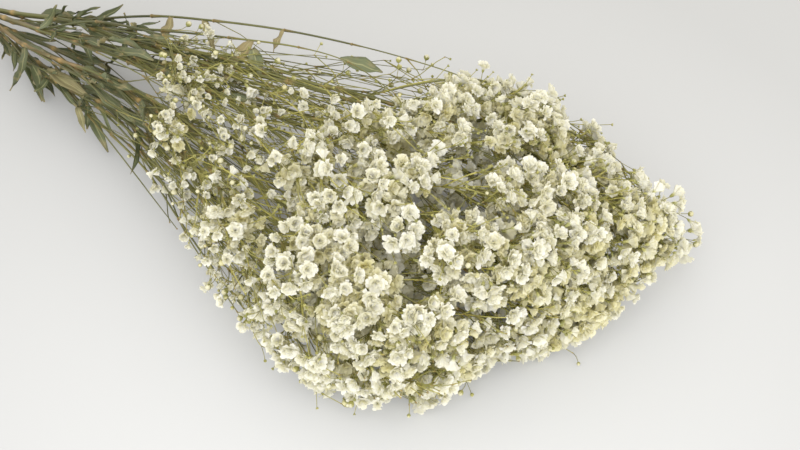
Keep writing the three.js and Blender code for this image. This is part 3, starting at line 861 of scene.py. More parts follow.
    def add_inner_twig(self):
        """A bare dried twig that runs forward inside the head."""
        random = self.random
        joint = self.joints[int(random.integers(len(self.joints)))]
        s = joint["at"][0]
        if not THATCH["from"][0] < s < THATCH["from"][1]:
            return
        u, v = self.seat_near(*THATCH["reach"])
        end = place(s + random.uniform(*THATCH["length"]), u, v)
        axis = unit(end - joint["at"])
        path = curve(joint["at"], unit(joint["direction"] + axis), end, axis, 3)
        self.add_twig(path, THATCH["radii"], False)
        self.add_joint(end, axis, 0.3)

    def joint_behind(self, target):
        """The joint from which a twig to a place is short and bends little."""
        best = None
        for joint in self.joints:
            way = target - joint["at"]
            length = np.linalg.norm(way)
            if not TWIG_REACH[0] < length < TWIG_REACH[1] or way[0] < TWIG_FORWARD * length:
                continue
            cost = length * (1 + BEND_COST * (1 - way @ joint["direction"] / length))
            cost *= self.random.uniform(*CHANCE)
            if best is None or cost < best[0]:
                best = (cost, joint)
        return best and best[1]

    def add_wisp(self, target):
        """A hair-thin twig from a joint behind a place to a few shut buds there."""
        random = self.random
        joint = self.joint_behind(target)
        if joint is None:
            return
        axis = unit(target - joint["at"])
        outward = unit(from_heart(target, *share_of(target)))
        leaving = unit(joint["direction"] + axis + outward * 0.5)
        arriving = unit(axis - outward * random.uniform(0, 0.4) + rolled(random, 0.15))
        self.add_twig(curve(joint["at"], leaving, target, arriving, 6), WISP["radii"], False)
        for _ in range(int(random.integers(*WISP["buds"], endpoint=True))):
            way = leaning_any_way(random, arriving, WISP["lean"])
            length, radius = random.uniform(*WISP["stalk"]), random.uniform(*WISP["bud"])
            self.add_bud(target, arriving, way, length, radius)

    def add_filler(self, target, flowers, buds, size=None):
        """A twig from a joint behind a place to a small fork of flowers and buds there."""
        random = self.random
        joint = self.joint_behind(target)
        if joint is None:
            return
        length = np.linalg.norm(target - joint["at"])
        axis = unit(target - joint["at"])
        leaving = unit(joint["direction"] + axis + rolled(random, 0.15))
        arriving = unit(axis + rolled(random, 0.18))
        fork = target - arriving * FILLER["fork"]
        thinnest, thickest = FILLER["radii"]
        radius = max(thinnest, min(joint["radius"] * 0.8, thickest))
        steps = max(4, int(length / TWIG_STEP["filler"]))
        path = curve(joint["at"], leaving, fork, arriving, steps)
        self.add_twig(path, (radius, TWIG_TIP_RADIUS))
        self.add_joint(fork, arriving, FILLER["joint"])
        for share in np.arange(0.45, 0.9, FILLER["joint_every"] / length):
            k = int(share * (len(path) - 1))
            self.add_joint(path[k], unit(path[k + 1] - path[k]), FILLER["joint"])
        size = FLOWER_RADIUS * (size or mix(0.7, 1, vigour(target[0])))
        self.fork_flowers(fork, arriving, flowers, buds, size)


@functools.cache
def grow_bunch():
    """Everything that grows, stem by stem, and then what fills the head."""
    lines = [grow_stem(i) for i in range(len(STEMS))]
    for floret in spread_florets():
        join_floret(lines[floret["stem"]], floret)
    grown = [dressed_stem(i, line) for i, line in enumerate(lines)]
    for i, thick, bears_from, stops in EDGE_BRANCHES:
        first = stops[0][0] - LAST_JOINT_BEFORE
        behind = [joint["at"] for joint in lines[i] if joint["at"][0] < first]
        grown[i].add_branch([behind[-1], *stops], thick, bears_from)
    random = np.random.default_rng(SEEDS["filling"])
    fill_head(grown, random, OUTER_FILLERS)
    for growth in grown:
        for _ in range(THATCH["count"]):
            growth.add_inner_twig()
    fill_head(grown, random, INNER_FILLERS)
    for clump in CLUMPS:
        fill_clump(grown, random, clump)
    for count, fill in (
        (YOUNG_FILLERS["count"], fill_young_part),
        (FRONT_FILLERS["count"], fill_front),
        (RIM_FILLERS["count"], fill_rim),
        (FOOT_FILLERS["count"], fill_foot),
        (WISP["count"], add_wisp),
    ):
        for _ in range(count):
            fill(grown, random)
    for stray in STRAY_BUDS:
        add_filler_at(grown, np.array(stray, float), 0, 1)
    return grown


def dressed_stem(i, line):
    """One stem with its sprays, leaves, side branches and shoots."""
    growth = Growth(i, line)
    for leaf in grow_leaves(i, line):
        growth.add_leaf(leaf["foot"], leaf["heading"], leaf["droop"], leaf["length"])
    for k, joint in enumerate(line):
        along = direction_at(line, k)
        if joint["at"][0] > BAND_TO + 5:
            growth.add_joint(joint["at"], along, joint["radius"])
        if joint["florets"]:
            spray = grow_spray(joint["at"], joint["florets"])
            leaving = unit(along + unit(spray["at"] - joint["at"]))
            growth.dress_limb(joint["at"], leaving, spray, SPRAY_RADIUS)
    for _ in range(RUNNER["count"]):
        growth.add_runner()
    for _ in range(SHOOT["count"]):
        growth.add_shoot()
    return growth


def add_filler_at(grown, target, flowers, buds):
    """A twig with flowers and buds on the stem whose share of the bunch a place is in."""
    grown[owner_of(*share_of(target))].add_filler(target, flowers, buds)


def fill_head(grown, random, fillers):
    """Twigs with flowers all through the head, at a given reach from its middle."""
    nearest, furthest = fillers["reach"]
    for _ in range(fillers["count"]):
        s = mix(FILLED_FROM, BUNCH_LENGTH - 12, random.random() ** 0.5)
        turn = any_turn(random)
        u, v = polar(random.uniform(nearest**2, furthest**2) ** 0.5, turn)
        target = place(s, u, v)
        flowers, buds = int(random.choice(fillers["flowers"])), int(random.choice([0, 0, 1, 2]))
        if vigour(s) < 0.5:
            flowers = min(flowers, int(random.integers(0, 2)))
        if is_past_edges(target, 0) or is_in_hollow(target):
            continue
        if s < front(u, v) and target[2] > CLEAR_OF_TABLE and not is_thin_edge(target):
            grown[owner_of(u, v)].add_filler(target, flowers, buds)


def fill_clump(grown, random, clump):
    """Twigs whose flowers gather in a dense clump."""
    for _ in range(CLUMP_FILLERS["count"]):
        s, u, v = random.normal(clump, CLUMP_FILLERS["spread"])
        target = place(s, u, v)
        if s < front(u, v) and target[2] > CLEAR_OF_TABLE and not is_past_edges(target, 0):
            grown[owner_of(u, v)].add_filler(target, int(random.choice(FULL_CLUSTERS)), 0)


def fill_young_part(grown, random):
    """A twig with a few small flowers that are hardly open, where the head begins to spread."""
    if random.random() < YOUNG_FILLERS["in_clumps"]:
        clump = YOUNG_CLUMPS[int(random.integers(len(YOUNG_CLUMPS)))]
        s, u, v = random.normal(clump, YOUNG_FILLERS["clump_spread"])
    else:
        s = random.uniform(*YOUNG_FILLERS["from"])
        turn = random.uniform(*YOUNG_FILLERS["half_turns"]) * np.pi
        u, v = polar(random.uniform(*YOUNG_FILLERS["reach"]), turn)
    target = place(s, u, v)
    if not is_past_edges(target, 0):
        flowers = int(random.choice([1, 2, 3]))
        grown[owner_of(u, v)].add_filler(target, flowers, 1, YOUNG_FILLERS["size"])


def fill_front(grown, random):
    """A twig with flowers at the front of the head."""
    turn = any_turn(random)
    u, v = polar(FRONT_FILLERS["reach"] * random.random() ** 0.5, turn)
    target = place(float(front(u, v)) - random.uniform(*FRONT_FILLERS["setback"]), u, v)
    if target[2] > FRONT_FILLERS["lowest"] and not is_thin_edge(target):
        grown[owner_of(u, v)].add_filler(target, int(random.choice(FULL_CLUSTERS)), 1)


def fill_rim(grown, random):
    """A twig with flowers on the rim of the head."""
    s = random.uniform(RIM[0, 0], RIM[-1, 0])
    y = np.interp(s, RIM[:, 0], RIM[:, 1]) - random.uniform(*RIM_FILLERS["in"])
    z = np.interp(s, RIM[:, 0], RIM[:, 2]) - random.uniform(*RIM_FILLERS["under"])
    stem = int(s < RIM_FILLERS["second_stem_until"])
    grown[stem].add_filler(np.array((s, y, z)), int(random.integers(1, 4)), 1)


def fill_foot(grown, random):
    """A twig with flowers where the front of the head meets what it lies on."""
    u = random.uniform(*FOOT_FILLERS["u"])
    z = random.uniform(*FOOT_FILLERS["height"])
    tuck = FOOT_FILLERS["tuck"] * max(0, FOOT_FILLERS["tucked_below"] - z)
    s = float(np.interp(u, *FOOT_REACH.T)) - tuck - random.uniform(*FOOT_FILLERS["setback"])
    if u < FOOT_FILLERS["side"]:
        s = random.uniform(FOOT_FILLERS["side_from"], s)
    target = np.array((s, u * float(half_width(s)), z))
    add_filler_at(grown, target, int(random.choice([2, 3])), 1)


def add_wisp(grown, random):
    """A hair-thin twig that runs along the outside of the head, and forks into tiny buds."""
    s = mix(*WISP["over"], random.random() ** 0.9)
    turn = random.uniform(*WISP["half_turns"]) * np.pi
    u, v = polar(random.uniform(*WISP["reach"]), turn)
    if s < front(u, v) - WISP["setback"]:
        target = place(s, u, v)
        if is_past_edges(target, 0) and random.random() < WISP["kept_off_edges"]:
            return
        if target[2] > CLEAR_OF_TABLE and not is_thin_edge(target):
            grown[owner_of(u, v)].add_wisp(target)


# ---- Meshes -----------------------------------------------------------------
class Pile:
    """The points and faces of one piece, with a number or more kept for every point."""

    def __init__(self, **fields):
        self.points, self.faces, self.count = [], [], 0
        self.widths = fields
        self.fields = {name: [] for name in fields}

    def add(self, points, faces, **values):
        self.points.append(points)
        self.faces.append(faces + self.count)
        self.count += len(points)
        for name, width in self.widths.items():
            shape = (len(points), width) if width > 1 else (len(points),)
            self.fields[name].append(np.broadcast_to(values[name], shape))

    def make(self, name, material):
        """The piece as an object of the scene, moved into the frame and scaled to metres."""
        points = to_frame(np.concatenate(self.points))
        points[:, 2] = np.maximum(points[:, 2], 0)
        faces = np.concatenate(self.faces)
        mesh = bpy.data.meshes.new(name)
        mesh.vertices.add(len(points))
        mesh.vertices.foreach_set("co", points.astype(np.float32).ravel())
        mesh.loops.add(faces.size)
        mesh.loops.foreach_set("vertex_index", faces.astype(np.int32).ravel())
        mesh.polygons.add(len(faces))
        mesh.polygons.foreach_set("loop_start", np.arange(0, faces.size, 3, dtype=np.int32))
        mesh.update(calc_edges=True)
        mesh.polygons.foreach_set("use_smooth", np.full(len(faces), True))
        for field, width in self.widths.items():
            kind = "FLOAT" if width == 1 else "FLOAT_VECTOR"
            layer = mesh.attributes.new(field, kind, "POINT")
            values = np.concatenate(self.fields[field]).astype(np.float32)
            layer.data.foreach_set("value" if width == 1 else "vector", values.ravel())
        mesh.materials.append(material)
        piece = bpy.data.objects.new(name, mesh)
        bpy.context.scene.collection.objects.link(piece)
        return piece


def frame_shift():
    """From the bunch's own place to the frame's, in millimetres, found at the elastic band."""
    low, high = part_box("elastic_band")
    seat = (place(BAND_FROM, 0, 0) + place(BAND_TO, 0, 0)) / 2
    middle = (np.array(low) + np.array(high)) / 2 / MM
    return np.array((middle[0] - seat[0], middle[1] - seat[1], 0))


SHIFT = frame_shift()


def to_frame(points):
    return (points + SHIFT) * MM


@functools.cache
def ring_faces(rings, sides):
    """Triangles between rings of points in rows, with fans to two end points after them."""
    faces = []
    for r in range(rings - 1):
        for k in range(sides):
            a, b = r * sides + k, r * sides + (k + 1) % sides
            faces += [(a, b, b + sides), (a, b + sides, a + sides)]
    first, last = rings * sides, rings * sides + 1
    top = (rings - 1) * sides
    for k in range(sides):
        nxt = (k + 1) % sides
        faces += [(first, nxt, k), (last, top + k, top + nxt)]
    return np.array(faces)


def rod(path, radii, sides):
    """A closed rod round a path, and where each of its points is along and round it."""
    rings = len(path)
    tangent = unit(np.gradient(path, axis=0))
    reference = np.eye(3)[np.argmin(np.abs(tangent.mean(0)))]
    side = unit(np.cross(tangent, reference))
    up = np.cross(side, tangent)
    angle = np.arange(sides) * 2 * np.pi / sides
    radii = np.broadcast_to(radii, rings)[:, None]
    c, n = radii * np.cos(angle), radii * np.sin(angle)
    wall = path[:, None] + c[..., None] * side[:, None] + n[..., None] * up[:, None]
    points = np.concatenate([wall.reshape(-1, 3), path[:1], path[-1:]])
    step = np.linalg.norm(np.diff(path, axis=0), axis=1)
    along = np.concatenate([[0], np.cumsum(step)])
    grain = np.stack([np.repeat(along, sides), c.ravel(), n.ravel()], axis=1)
    grain = np.concatenate([grain, [(0, 0, 0), (along[-1], 0, 0)]])
    ring_of = np.concatenate([np.repeat(np.arange(rings), sides), [0, rings - 1]])
    return points, ring_faces(rings, sides), grain, ring_of


# ---- Flowers ----------------------------------------------------------------
# A petal's points are its foot, two half way, and three along its toothed end, as shares of its
# length along it and of its width across it.
PETAL_ALONG = (0, 0.55, 0.55, 0.98, 1.06, 0.98)
PETAL_ACROSS = (0, -0.34, 0.34, -0.5, 0, 0.5)
PETAL_FACES = np.array([(0, 1, 2), (1, 3, 4), (1, 4, 2), (2, 4, 5)])
MIDDLE_TOOTH = 4
PETAL_RISE = 0.3  # how far a petal leans out at its foot, in radians
# How much petals differ: how far one twists, how ragged its end is, how far its middle tooth is
# to one side, and how it ruffles.
PETAL_CHANCE = {"twist": 0.35, "ragged": 0.055, "aside": 0.12, "ruffle": 0.16, "tooth": 0.4}
# How much the petals of a whorl differ: in lean, in degrees, in size, and in their spacing, and
# the least that one leans, in radians.
WHORL_CHANCE = {"lean": 18, "size": (0.82, 1.1), "spacing": 0.22, "least_lean": 0.2}


def petal(length, width, foot, lean, random):
    """A petal along +X: a pointed foot that soon spreads, and a toothed, crinkled end."""
    chance = PETAL_CHANCE
    steps = np.linspace(0, 1.2, 25)
    angles = PETAL_RISE + (lean - PETAL_RISE) * steps**1.4
    reach = foot + length * np.cumsum(np.sin(angles)) * steps[1]
    rise = length * np.cumsum(np.cos(angles)) * steps[1]
    twist = random.normal(0, chance["twist"])
    along = np.array(PETAL_ALONG)
    along[3:] += random.normal(0, chance["ragged"], 3)
    over = width * np.array(PETAL_ACROSS)
    over[MIDDLE_TOOTH] = width * random.uniform(-chance["aside"], chance["aside"])
    lift = random.normal(0, chance["ruffle"], 6) * along
    lift[MIDDLE_TOOTH] += random.normal(0, chance["tooth"])
    lift += over * math.sin(twist)
    turn = np.interp(along, steps, angles)
    out = np.interp(along, steps, reach) - np.cos(turn) * lift
    up = np.interp(along, steps, rise) + np.sin(turn) * lift
    return np.stack([out, over * math.cos(twist), up], axis=1), along


def about_z(points, angle):
    c, s = math.cos(angle), math.sin(angle)
    x, y, z = points.T
    return np.stack([c * x - s * y, s * x + c * y, z], axis=1)


def flower_shape(seed, openness, whorls):
    """A double flower facing +Z like a small ruffled tuft, its throat at the origin."""
    random = np.random.default_rng(seed)
    chance = WHORL_CHANCE
    points, faces, depth, count = [], [], [], 0
    for petals, length, width, foot, lean in whorls:
        first = any_turn(random)
        for k in range(petals):
            tilt = math.radians(lean * openness + random.normal(0, chance["lean"]))
            tilt = max(tilt, chance["least_lean"])
            size = random.uniform(*chance["size"])
            shape, along = petal(length * size, width * size, foot, tilt, random)
            turn = first + 2 * np.pi * (k + random.normal(0, chance["spacing"])) / petals
            points.append(about_z(shape, turn))
            depth.append(along)
            faces.append(PETAL_FACES + count)
            count += len(shape)
    return np.concatenate(points), np.concatenate(faces), np.concatenate(depth)


# Each whorl of petals: how many, their length and width, how far out their feet stand, and how
# far their ends lean out in degrees.
FINE_WHORLS = (
    (12, 6.7, 2.9, 0.5, 110),
    (12, 6.5, 2.8, 0.4, 86),
    (11, 6.1, 2.7, 0.3, 60),
    (10, 5.7, 3.0, 0.0, 18),
)
PLAIN_WHORLS = (
    (9, 6.7, 3.8, 0.5, 106),
    (8, 6.3, 3.6, 0.4, 74),
    (7, 5.7, 3.5, 0.0, 20),
)
HIDDEN_WHORLS = (
    (6, 6.5, 4.8, 0.5, 100),
    (5, 5.9, 4.4, 0.2, 54),
)
# Which whorls a flower has: how far from the middle of the bunch the hidden and the plain ones
# end, the share v from which flowers are fine, and over which distances from the front of the
# head flowers come to count as being far out.
DETAIL = {"hidden_to": 0.5, "plain_to": 0.62, "fine_from": 0.05, "front": (-90, 10)}
FLOWER_SHAPES = 14
OPENNESS = (0.32, 1.04)
OPENS = {"head": 0.9, "young": 2.6}  # the higher, the more of the flowers are still closed

# The light that other flowers take from one: those within reach count that stand above it, or
# further out, by more than a least distance. One takes nothing, and eight more take it all.
SHELTER = {"reach": 15, "least": 2.5, "full": 8, "upward": 0.6, "front": (-60, 0)}
# A flower's tone: a random share for its real age, and a share for its shelter, which is painted
# shade that makes flowers under others yellower and darker.
FLOWER_AGE_AND_SHADE = {"chance": 0.26, "shelter": 0.52}

# Cups, as the heights and radii of their rings, and then of their teeth and of the notches. The
# last is the cup of a bud of radius 1.
CUP_SIDES = 5
FINE_CUP = ((-FLOWER_CALYX, 0.3), (-1.4, 0.75), (-0.4, 0.95)), ((0.7, 1.25), (0.0, 0.95))
PLAIN_CUP = ((-FLOWER_CALYX, 0.35),), ((0.7, 1.25), (-0.3, 0.95))
BUD_CUP = ((-1.15, 0.25), (-0.7, 0.82)), ((0.5, 1.0), (-0.15, 1.06))

# Buds of radius 1: the heights of their rings, the fold of their petals, and their two ends.
BUD_SHAPES = 4
BUD_SIDES = 6
BUD_RINGS = (-0.62, 0.05, 0.68)
BUD_FOLDS = {"depth": 0.1, "turn": 0.25, "waves": 2.5}
BUD_ENDS = [(0, 0, -1), (0.05, -0.05, 0.98)]
BUD_CHANCE = (0.94, 1.05)
BUD_AGE = (0.5, 0.92)
BUD_TINT = (0.1, 0.45)  # how far along a petal a bud's colours start, and how far on they go


def cup_shape(rings, teeth):
    """A green cup with five teeth."""
    sides = CUP_SIDES
    points, faces = [], []
    for z, radius in rings:
        points += [(*polar(radius, 2 * np.pi * k / sides), z) for k in range(sides)]
    for k in range(2 * sides):
        z, radius = teeth[k % 2]
        points.append((*polar(radius, 2 * np.pi * k / (2 * sides)), z))
    for r in range(len(rings) - 1):
        for k in range(sides):
            a, b = sides * r + k, sides * r + (k + 1) % sides
            faces += [(a, b, b + sides), (a, b + sides, a + sides)]
    last, first = sides * (len(rings) - 1), sides * len(rings)
    for k in range(sides):
        a, b = last + k, last + (k + 1) % sides
        tip, notch, nxt = (first + (2 * k + ahead) % (2 * sides) for ahead in range(3))
        faces += [(a, notch, tip), (a, b, notch), (b, nxt, notch)]
    points = np.array(points)
    depth = (points[:, 2] - rings[0][0]) / (teeth[0][0] - rings[0][0])
    return points, np.array(faces), depth


def bud_shape(seed):
    """A round bud of radius 1 facing +Z, its petals folded in five."""
    random = np.random.default_rng(seed)
    points = []
    for r, z in enumerate(BUD_RINGS):
        for k in range(BUD_SIDES):
            angle = 2 * np.pi * k / BUD_SIDES + r * BUD_FOLDS["turn"]
            fold = math.cos(BUD_FOLDS["waves"] * angle + r) * (r > 1)
            radius = math.sqrt(1 - z * z) * (1 + BUD_FOLDS["depth"] * fold)
            radius *= random.uniform(*BUD_CHANCE)
            points.append((*polar(radius, angle), z))
    depth = [0.5 + z / 2 for _, _, z in points] + [0, 1]
    return np.array(points + BUD_ENDS), ring_faces(len(BUD_RINGS), BUD_SIDES), np.array(depth)


def detail(flower):
    """Which whorls a flower has: 0 on the upper outside of the head, 1 elsewhere on the outside,
    2 deep inside."""
    u, v = share_of(flower["at"])
    near_front = float(ease(*DETAIL["front"], flower["at"][0] - front(u, v)))
    reach = max(math.hypot(u, v), near_front)
    if reach < DETAIL["hidden_to"]:
        return 2
    return int(v < DETAIL["fine_from"] or reach < DETAIL["plain_to"])


def find_shelter(flowers):
    """Gives every flower its shelter, from 0, in the open, to 1, deep under other flowers, which
    sets its painted shade.
    """
    at = np.array([flower["at"] for flower in flowers])
    u, v = share_of(at)
    outward = unit(from_heart(at, u, v) + (0, 0, 0.01))
    outward[:, 0] += ease(*SHELTER["front"], at[:, 0] - front(u, v))
    toward = unit(outward + (0, 0, SHELTER["upward"]))
    for k, flower in enumerate(flowers):
        way = at - at[k]
        near = np.linalg.norm(way, axis=1) < SHELTER["reach"]
        over = (way @ toward[k] > SHELTER["least"]) & near
        flower["shelter"] = min(1.0, max(0, over.sum() - 1) / SHELTER["full"])


def age_and_painted_shade(flower, random):
    """From 0, fresh, to 1, brown: a random age, and painted shade that makes sheltered flowers
    yellower and darker than those in the open.
    """
    return FLOWER_AGE_AND_SHADE["chance"] * random.random() + FLOWER_AGE_AND_SHADE["shelter"] * flower["shelter"]


def turned(points, facing, random):
    """Points that faced +Z, turned to face another way, with a random turn round it."""
    side, up = across(facing)
    turn = any_turn(random)
    c, s = math.cos(turn), math.sin(turn)
    return points @ np.stack([side * c + up * s, up * c - side * s, facing])


# ---- Leaves and band --------------------------------------------------------
LEAF_ROWS = 9
LEAF_COLUMNS = 5
LEAF_SHEET = 0.22
# How leaves dried: how far one is twisted at its foot and from there on, how sharply it folds
# along its midrib, and how it ripples.
LEAF_TWIST = {"foot": 0.6, "narrow": 1.1, "broad": 0.6}
LEAF_FOLD = {"narrow": (0.2, 1.3), "broad": (0.1, 0.45)}
LEAF_RIPPLE = {
    "edge": 0.8, "edge_waves": (6, 14), "start": (0, 6), "middle": 0.6,
    "middle_waves": (9, 17),
}


def leaf_sheet(leaf, random):
    """A narrow leaf that folded along its midrib, curled and rippled as it dried."""
    kind = "broad" if leaf["broad"] else "narrow"
    t = np.linspace(0, 1, LEAF_ROWS)
    spine = leaf_spine(leaf, t)
    direction = unit(np.gradient(spine, axis=0))
    twist = random.uniform(-LEAF_TWIST["foot"], LEAF_TWIST["foot"])
    twist = twist + t * random.normal(0, LEAF_TWIST[kind])
    level = across(leaf["heading"])[1]
    side = unit(np.cross(level, direction))
    face = np.cross(direction, side)
    cos, sin = np.cos(twist)[:, None], np.sin(twist)[:, None]
    side, face = side * cos + face * sin, face * cos - side * sin
    half = leaf["width"] * np.maximum(np.sin(np.pi * np.clip(t, 0.04, 0.985) ** 0.8), 0.1) ** 0.75
    fold = random.uniform(*LEAF_FOLD[kind])
    flat = 1 / math.hypot(1, fold)
    c = np.linspace(-1, 1, LEAF_COLUMNS)
    waves = random.uniform(*LEAF_RIPPLE["edge_waves"])
    start = random.uniform(*LEAF_RIPPLE["start"])
    ripple = LEAF_RIPPLE["edge"] * np.sin(t * waves + start)[:, None] * c
    waves = random.uniform(*LEAF_RIPPLE["middle_waves"])
    ripple = ripple + LEAF_RIPPLE["middle"] * np.sin(t * waves)[:, None]
    over = half[:, None] * c * flat
    raised = half[:, None] * np.abs(c) ** 1.4 * fold * flat + ripple
    sheet = spine[:, None] + over[..., None] * side[:, None] + raised[..., None] * face[:, None]
    inner = LEAF_SHEET / 2 * (1 - c * c * 0.8)[None, :, None] * face[:, None]
    points = np.concatenate([(sheet + inner).reshape(-1, 3), (sheet - inner).reshape(-1, 3)])
    points[:, 2] = np.maximum(points[:, 2], 0.1)
    size = LEAF_ROWS * LEAF_COLUMNS
    length = np.full(size, leaf["length"])
    blade = np.stack([np.repeat(t, LEAF_COLUMNS), np.tile(c, LEAF_ROWS), length], axis=1)
    return points, leaf_faces(size), np.concatenate([blade, blade])


def leaf_faces(size):
    """The triangles of a leaf: its upper face, its lower face and the rim between them."""
    faces = []
    for r in range(LEAF_ROWS - 1):
        for k in range(LEAF_COLUMNS - 1):
            a = r * LEAF_COLUMNS + k
            b, d, e = a + 1, a + LEAF_COLUMNS, a + LEAF_COLUMNS + 1
            faces += [(a, b, e), (a, e, d), (size + a, size + e, size + b)]
            faces += [(size + a, size + d, size + e)]
    rim = [r * LEAF_COLUMNS for r in range(LEAF_ROWS)]
    rim += [size - LEAF_COLUMNS + k for k in range(1, LEAF_COLUMNS)]
    rim += [r * LEAF_COLUMNS + LEAF_COLUMNS - 1 for r in range(LEAF_ROWS - 2, -1, -1)]
    rim += [k for k in range(LEAF_COLUMNS - 2, 0, -1)]
    for a, b in zip(rim, rim[1:] + rim[:1]):
        faces += [(a, b, size + b), (a, size + b, size + a)]
    return np.array(faces)


# Leaves that stand out, with the stem that each grows on: foot and tip as s, y, z, half width,
# and age from 0, dark green, through 0.5, grey-green, to 1, tan.
BROAD_LEAVES = (
    (1, (345, 45, 75), (355, 10, 75), 4.2, 0.9),
    (1, (350, 45, 75), (370, 30, 75), 3.8, 0.45),
    (1, (415, 60, 90), (445, 65, 90), 4.4, 0.4),
    (0, (360, 65, 80), (365, 50, 75), 2.6, 0.85),
    (0, (275, 40, 60), (285, 25, 55), 4.4, 0.85),
    (0, (300, 50, 70), (320, 40, 60), 2.6, 0.8),
    (4, (220, -10, 40), (260, -25, 35), 4.2, 0.75),
    (5, (175, -15, 15), (210, -30, 5), 3.8, 0.0),
    (3, (255, -15, 45), (275, -15, 50), 4.0, 0.5),
    (4, (280, -20, 50), (315, -30, 45), 3.8, 0.5),
    (1, (170, 20, 30), (215, 20, 40), 4.6, 0.05),
    (5, (185, -15, 10), (220, -25, 10), 3.6, 0.05),
    (4, (260, -25, 20), (285, -40, 10), 2.8, 0.15),
    (2, (345, 0, 65), (390, 10, 80), 3.0, 0.3),
)
BROADER = 1.25  # what their half widths are multiplied by
THINNEST_CARRIER = 0.3  # the least radius of a twig that can carry one
# More of them low on each stem, near the stem's own place in the bunch.
LOW_LEAF = {
    "count": 2, "from": (150, 300), "length": (15, 40), "outward": (0.7, 1.5),
    "lowest_tip": 4, "half_width": (2.6, 4.2), "ages": [0.0, 0.05, 0.1, 0.2, 0.3, 0.5],
}


def low_leaf(growth):
    """A leaf low on a stem's share of the bunch: foot, tip, half width and age."""
    random = growth.random
    s = random.uniform(*LOW_LEAF["from"])
    u, v = stem_share(growth.number, s)
    length, wider = random.uniform(*LOW_LEAF["length"]), random.uniform(*LOW_LEAF["outward"])
    tip = place(s + length, u * wider, v * random.uniform(*LOW_LEAF["outward"]))
    tip[2] = max(tip[2], LOW_LEAF["lowest_tip"])
    width = random.uniform(*LOW_LEAF["half_width"])
    return place(s, u, v), tip, width, random.choice(LOW_LEAF["ages"])


# How unevenly the band is wound, and its end, which is brought back across the other wraps.
BAND_WANDER = {"along": 0.22, "along_waves": 0.73, "out": 0.12, "out_waves": 1.31}
BAND_END = {"half_turns": 1.5, "hump": 1.9, "points": 24}
BAND_POINTS = 40  # in each wrap


def band_path():
    """The middle line of the elastic band, wound round the stems."""
    inner = BAND_BUNDLE * STEMS[0]["out"] + STEM_RADIUS + BAND_GAP
    low, high = place(BAND_FROM, 0, 0), place(BAND_TO, 0, 0)
    axis = unit(high - low)
    side, up = across(axis)
    width = BAND_TO - BAND_FROM
    half = BAND_THICKNESS / 2
    t = np.linspace(0, 1, BAND_WRAPS * BAND_POINTS + 1)
    turn = 2 * np.pi * BAND_WRAPS * t
    wander = BAND_WANDER["along"] * np.sin(turn * BAND_WANDER["along_waves"] + 1)
    along = mix(half, width - half, t) + wander
    radius = inner + half + BAND_WANDER["out"] * np.sin(turn * BAND_WANDER["out_waves"])
    t_back = np.linspace(0, 1, BAND_END["points"])[1:]
    turn = np.concatenate([turn, turn[-1] + t_back * BAND_END["half_turns"] * np.pi])
    along = np.concatenate([along, mix(along[-1], half, ease(0, 1, t_back))])
    hump = half * BAND_END["hump"] * np.sin(np.pi * t_back) ** 0.5
    radius = np.concatenate([radius, inner + half + hump])
    out = side * np.cos(turn)[:, None] + up * np.sin(turn)[:, None]
    return low + axis * along[:, None] + out * radius[:, None]


# ---- Materials --------------------------------------------------------------
class Nodes:
    """A material's node tree, with short ways to add the nodes used here."""

    def __init__(self, name, roughness):
        self.material = bpy.data.materials.new(name)
        self.material.use_nodes = True
        self.tree = self.material.node_tree
        self.shader = self.tree.nodes["Principled BSDF"]
        self.shader.inputs["Roughness"].default_value = roughness

    def add(self, kind, **settings):
        node = self.tree.nodes.new(kind)
        for name, value in settings.items():
            setattr(node, name, value)
        return node

    def link(self, output, target):
        self.tree.links.new(output, target)

    def attribute(self, name, output="Fac"):
        return self.add("ShaderNodeAttribute", attribute_name=name).outputs[output]

    def noise(self, scale, detail=2.0, vector=None):
        node = self.add("ShaderNodeTexNoise")
        node.inputs["Scale"].default_value = scale
        node.inputs["Detail"].default_value = detail
        if vector is None:
            vector = self.add("ShaderNodeTexCoord").outputs["Object"]
        self.link(vector, node.inputs["Vector"])
        return node.outputs["Fac"]

    def stretched(self, vector, scale):
        node = self.add("ShaderNodeMapping")
        node.inputs["Scale"].default_value = scale
        self.link(vector, node.inputs["Vector"])
        return node.outputs["Vector"]

    def ramp(self, value, *stops):
        node = self.add("ShaderNodeValToRGB")
        ramp = node.color_ramp
        for k, (position, colour) in enumerate(stops):
            stop = ramp.elements[k] if k < 2 else ramp.elements.new(position)
            stop.position = position
            stop.color = (*colour[:3], 1)
        self.link(value, node.inputs["Fac"])
        return node.outputs["Color"]

    def blend(self, share, first, second, how="MIX"):
        node = self.add("ShaderNodeMix", data_type="RGBA", blend_type=how)
        for socket, value in ((0, share), (6, first), (7, second)):
            if hasattr(value, "is_linked"):
                self.link(value, node.inputs[socket])
            elif socket == 0:
                node.inputs[socket].default_value = value
            else:
                node.inputs[socket].default_value = (*value[:3], 1)
        return node.outputs[2]

    def times(self, first, second):
        """One colour multiplied by another."""
        return self.blend(1.0, first, second, "MULTIPLY")

    def colour(self, output):
        self.link(output, self.shader.inputs["Base Color"])

    def let_light_through(self, colour, share):
        """Lets part of the light that falls on one side of a thin sheet out of the other."""
        through = self.add("ShaderNodeBsdfTranslucent")
        self.link(colour, through.inputs["Color"])
        both = self.add("ShaderNodeMixShader")
        both.inputs[0].default_value = share
        self.link(self.shader.outputs[0], both.inputs[1])
        self.link(through.outputs[0], both.inputs[2])
        self.link(both.outputs[0], self.tree.nodes["Material Output"].inputs["Surface"])

    def bump(self, height, strength, distance):
        node = self.add("ShaderNodeBump")
        node.inputs["Strength"].default_value = strength
        node.inputs["Distance"].default_value = distance
        self.link(height, node.inputs["Height"])
        self.link(node.outputs["Normal"], self.shader.inputs["Normal"])


WHITE = (1, 1, 1)
BLACK = (0, 0, 0)
PETAL_LETS_THROUGH = 0.36  # the share of light that passes through a dried petal


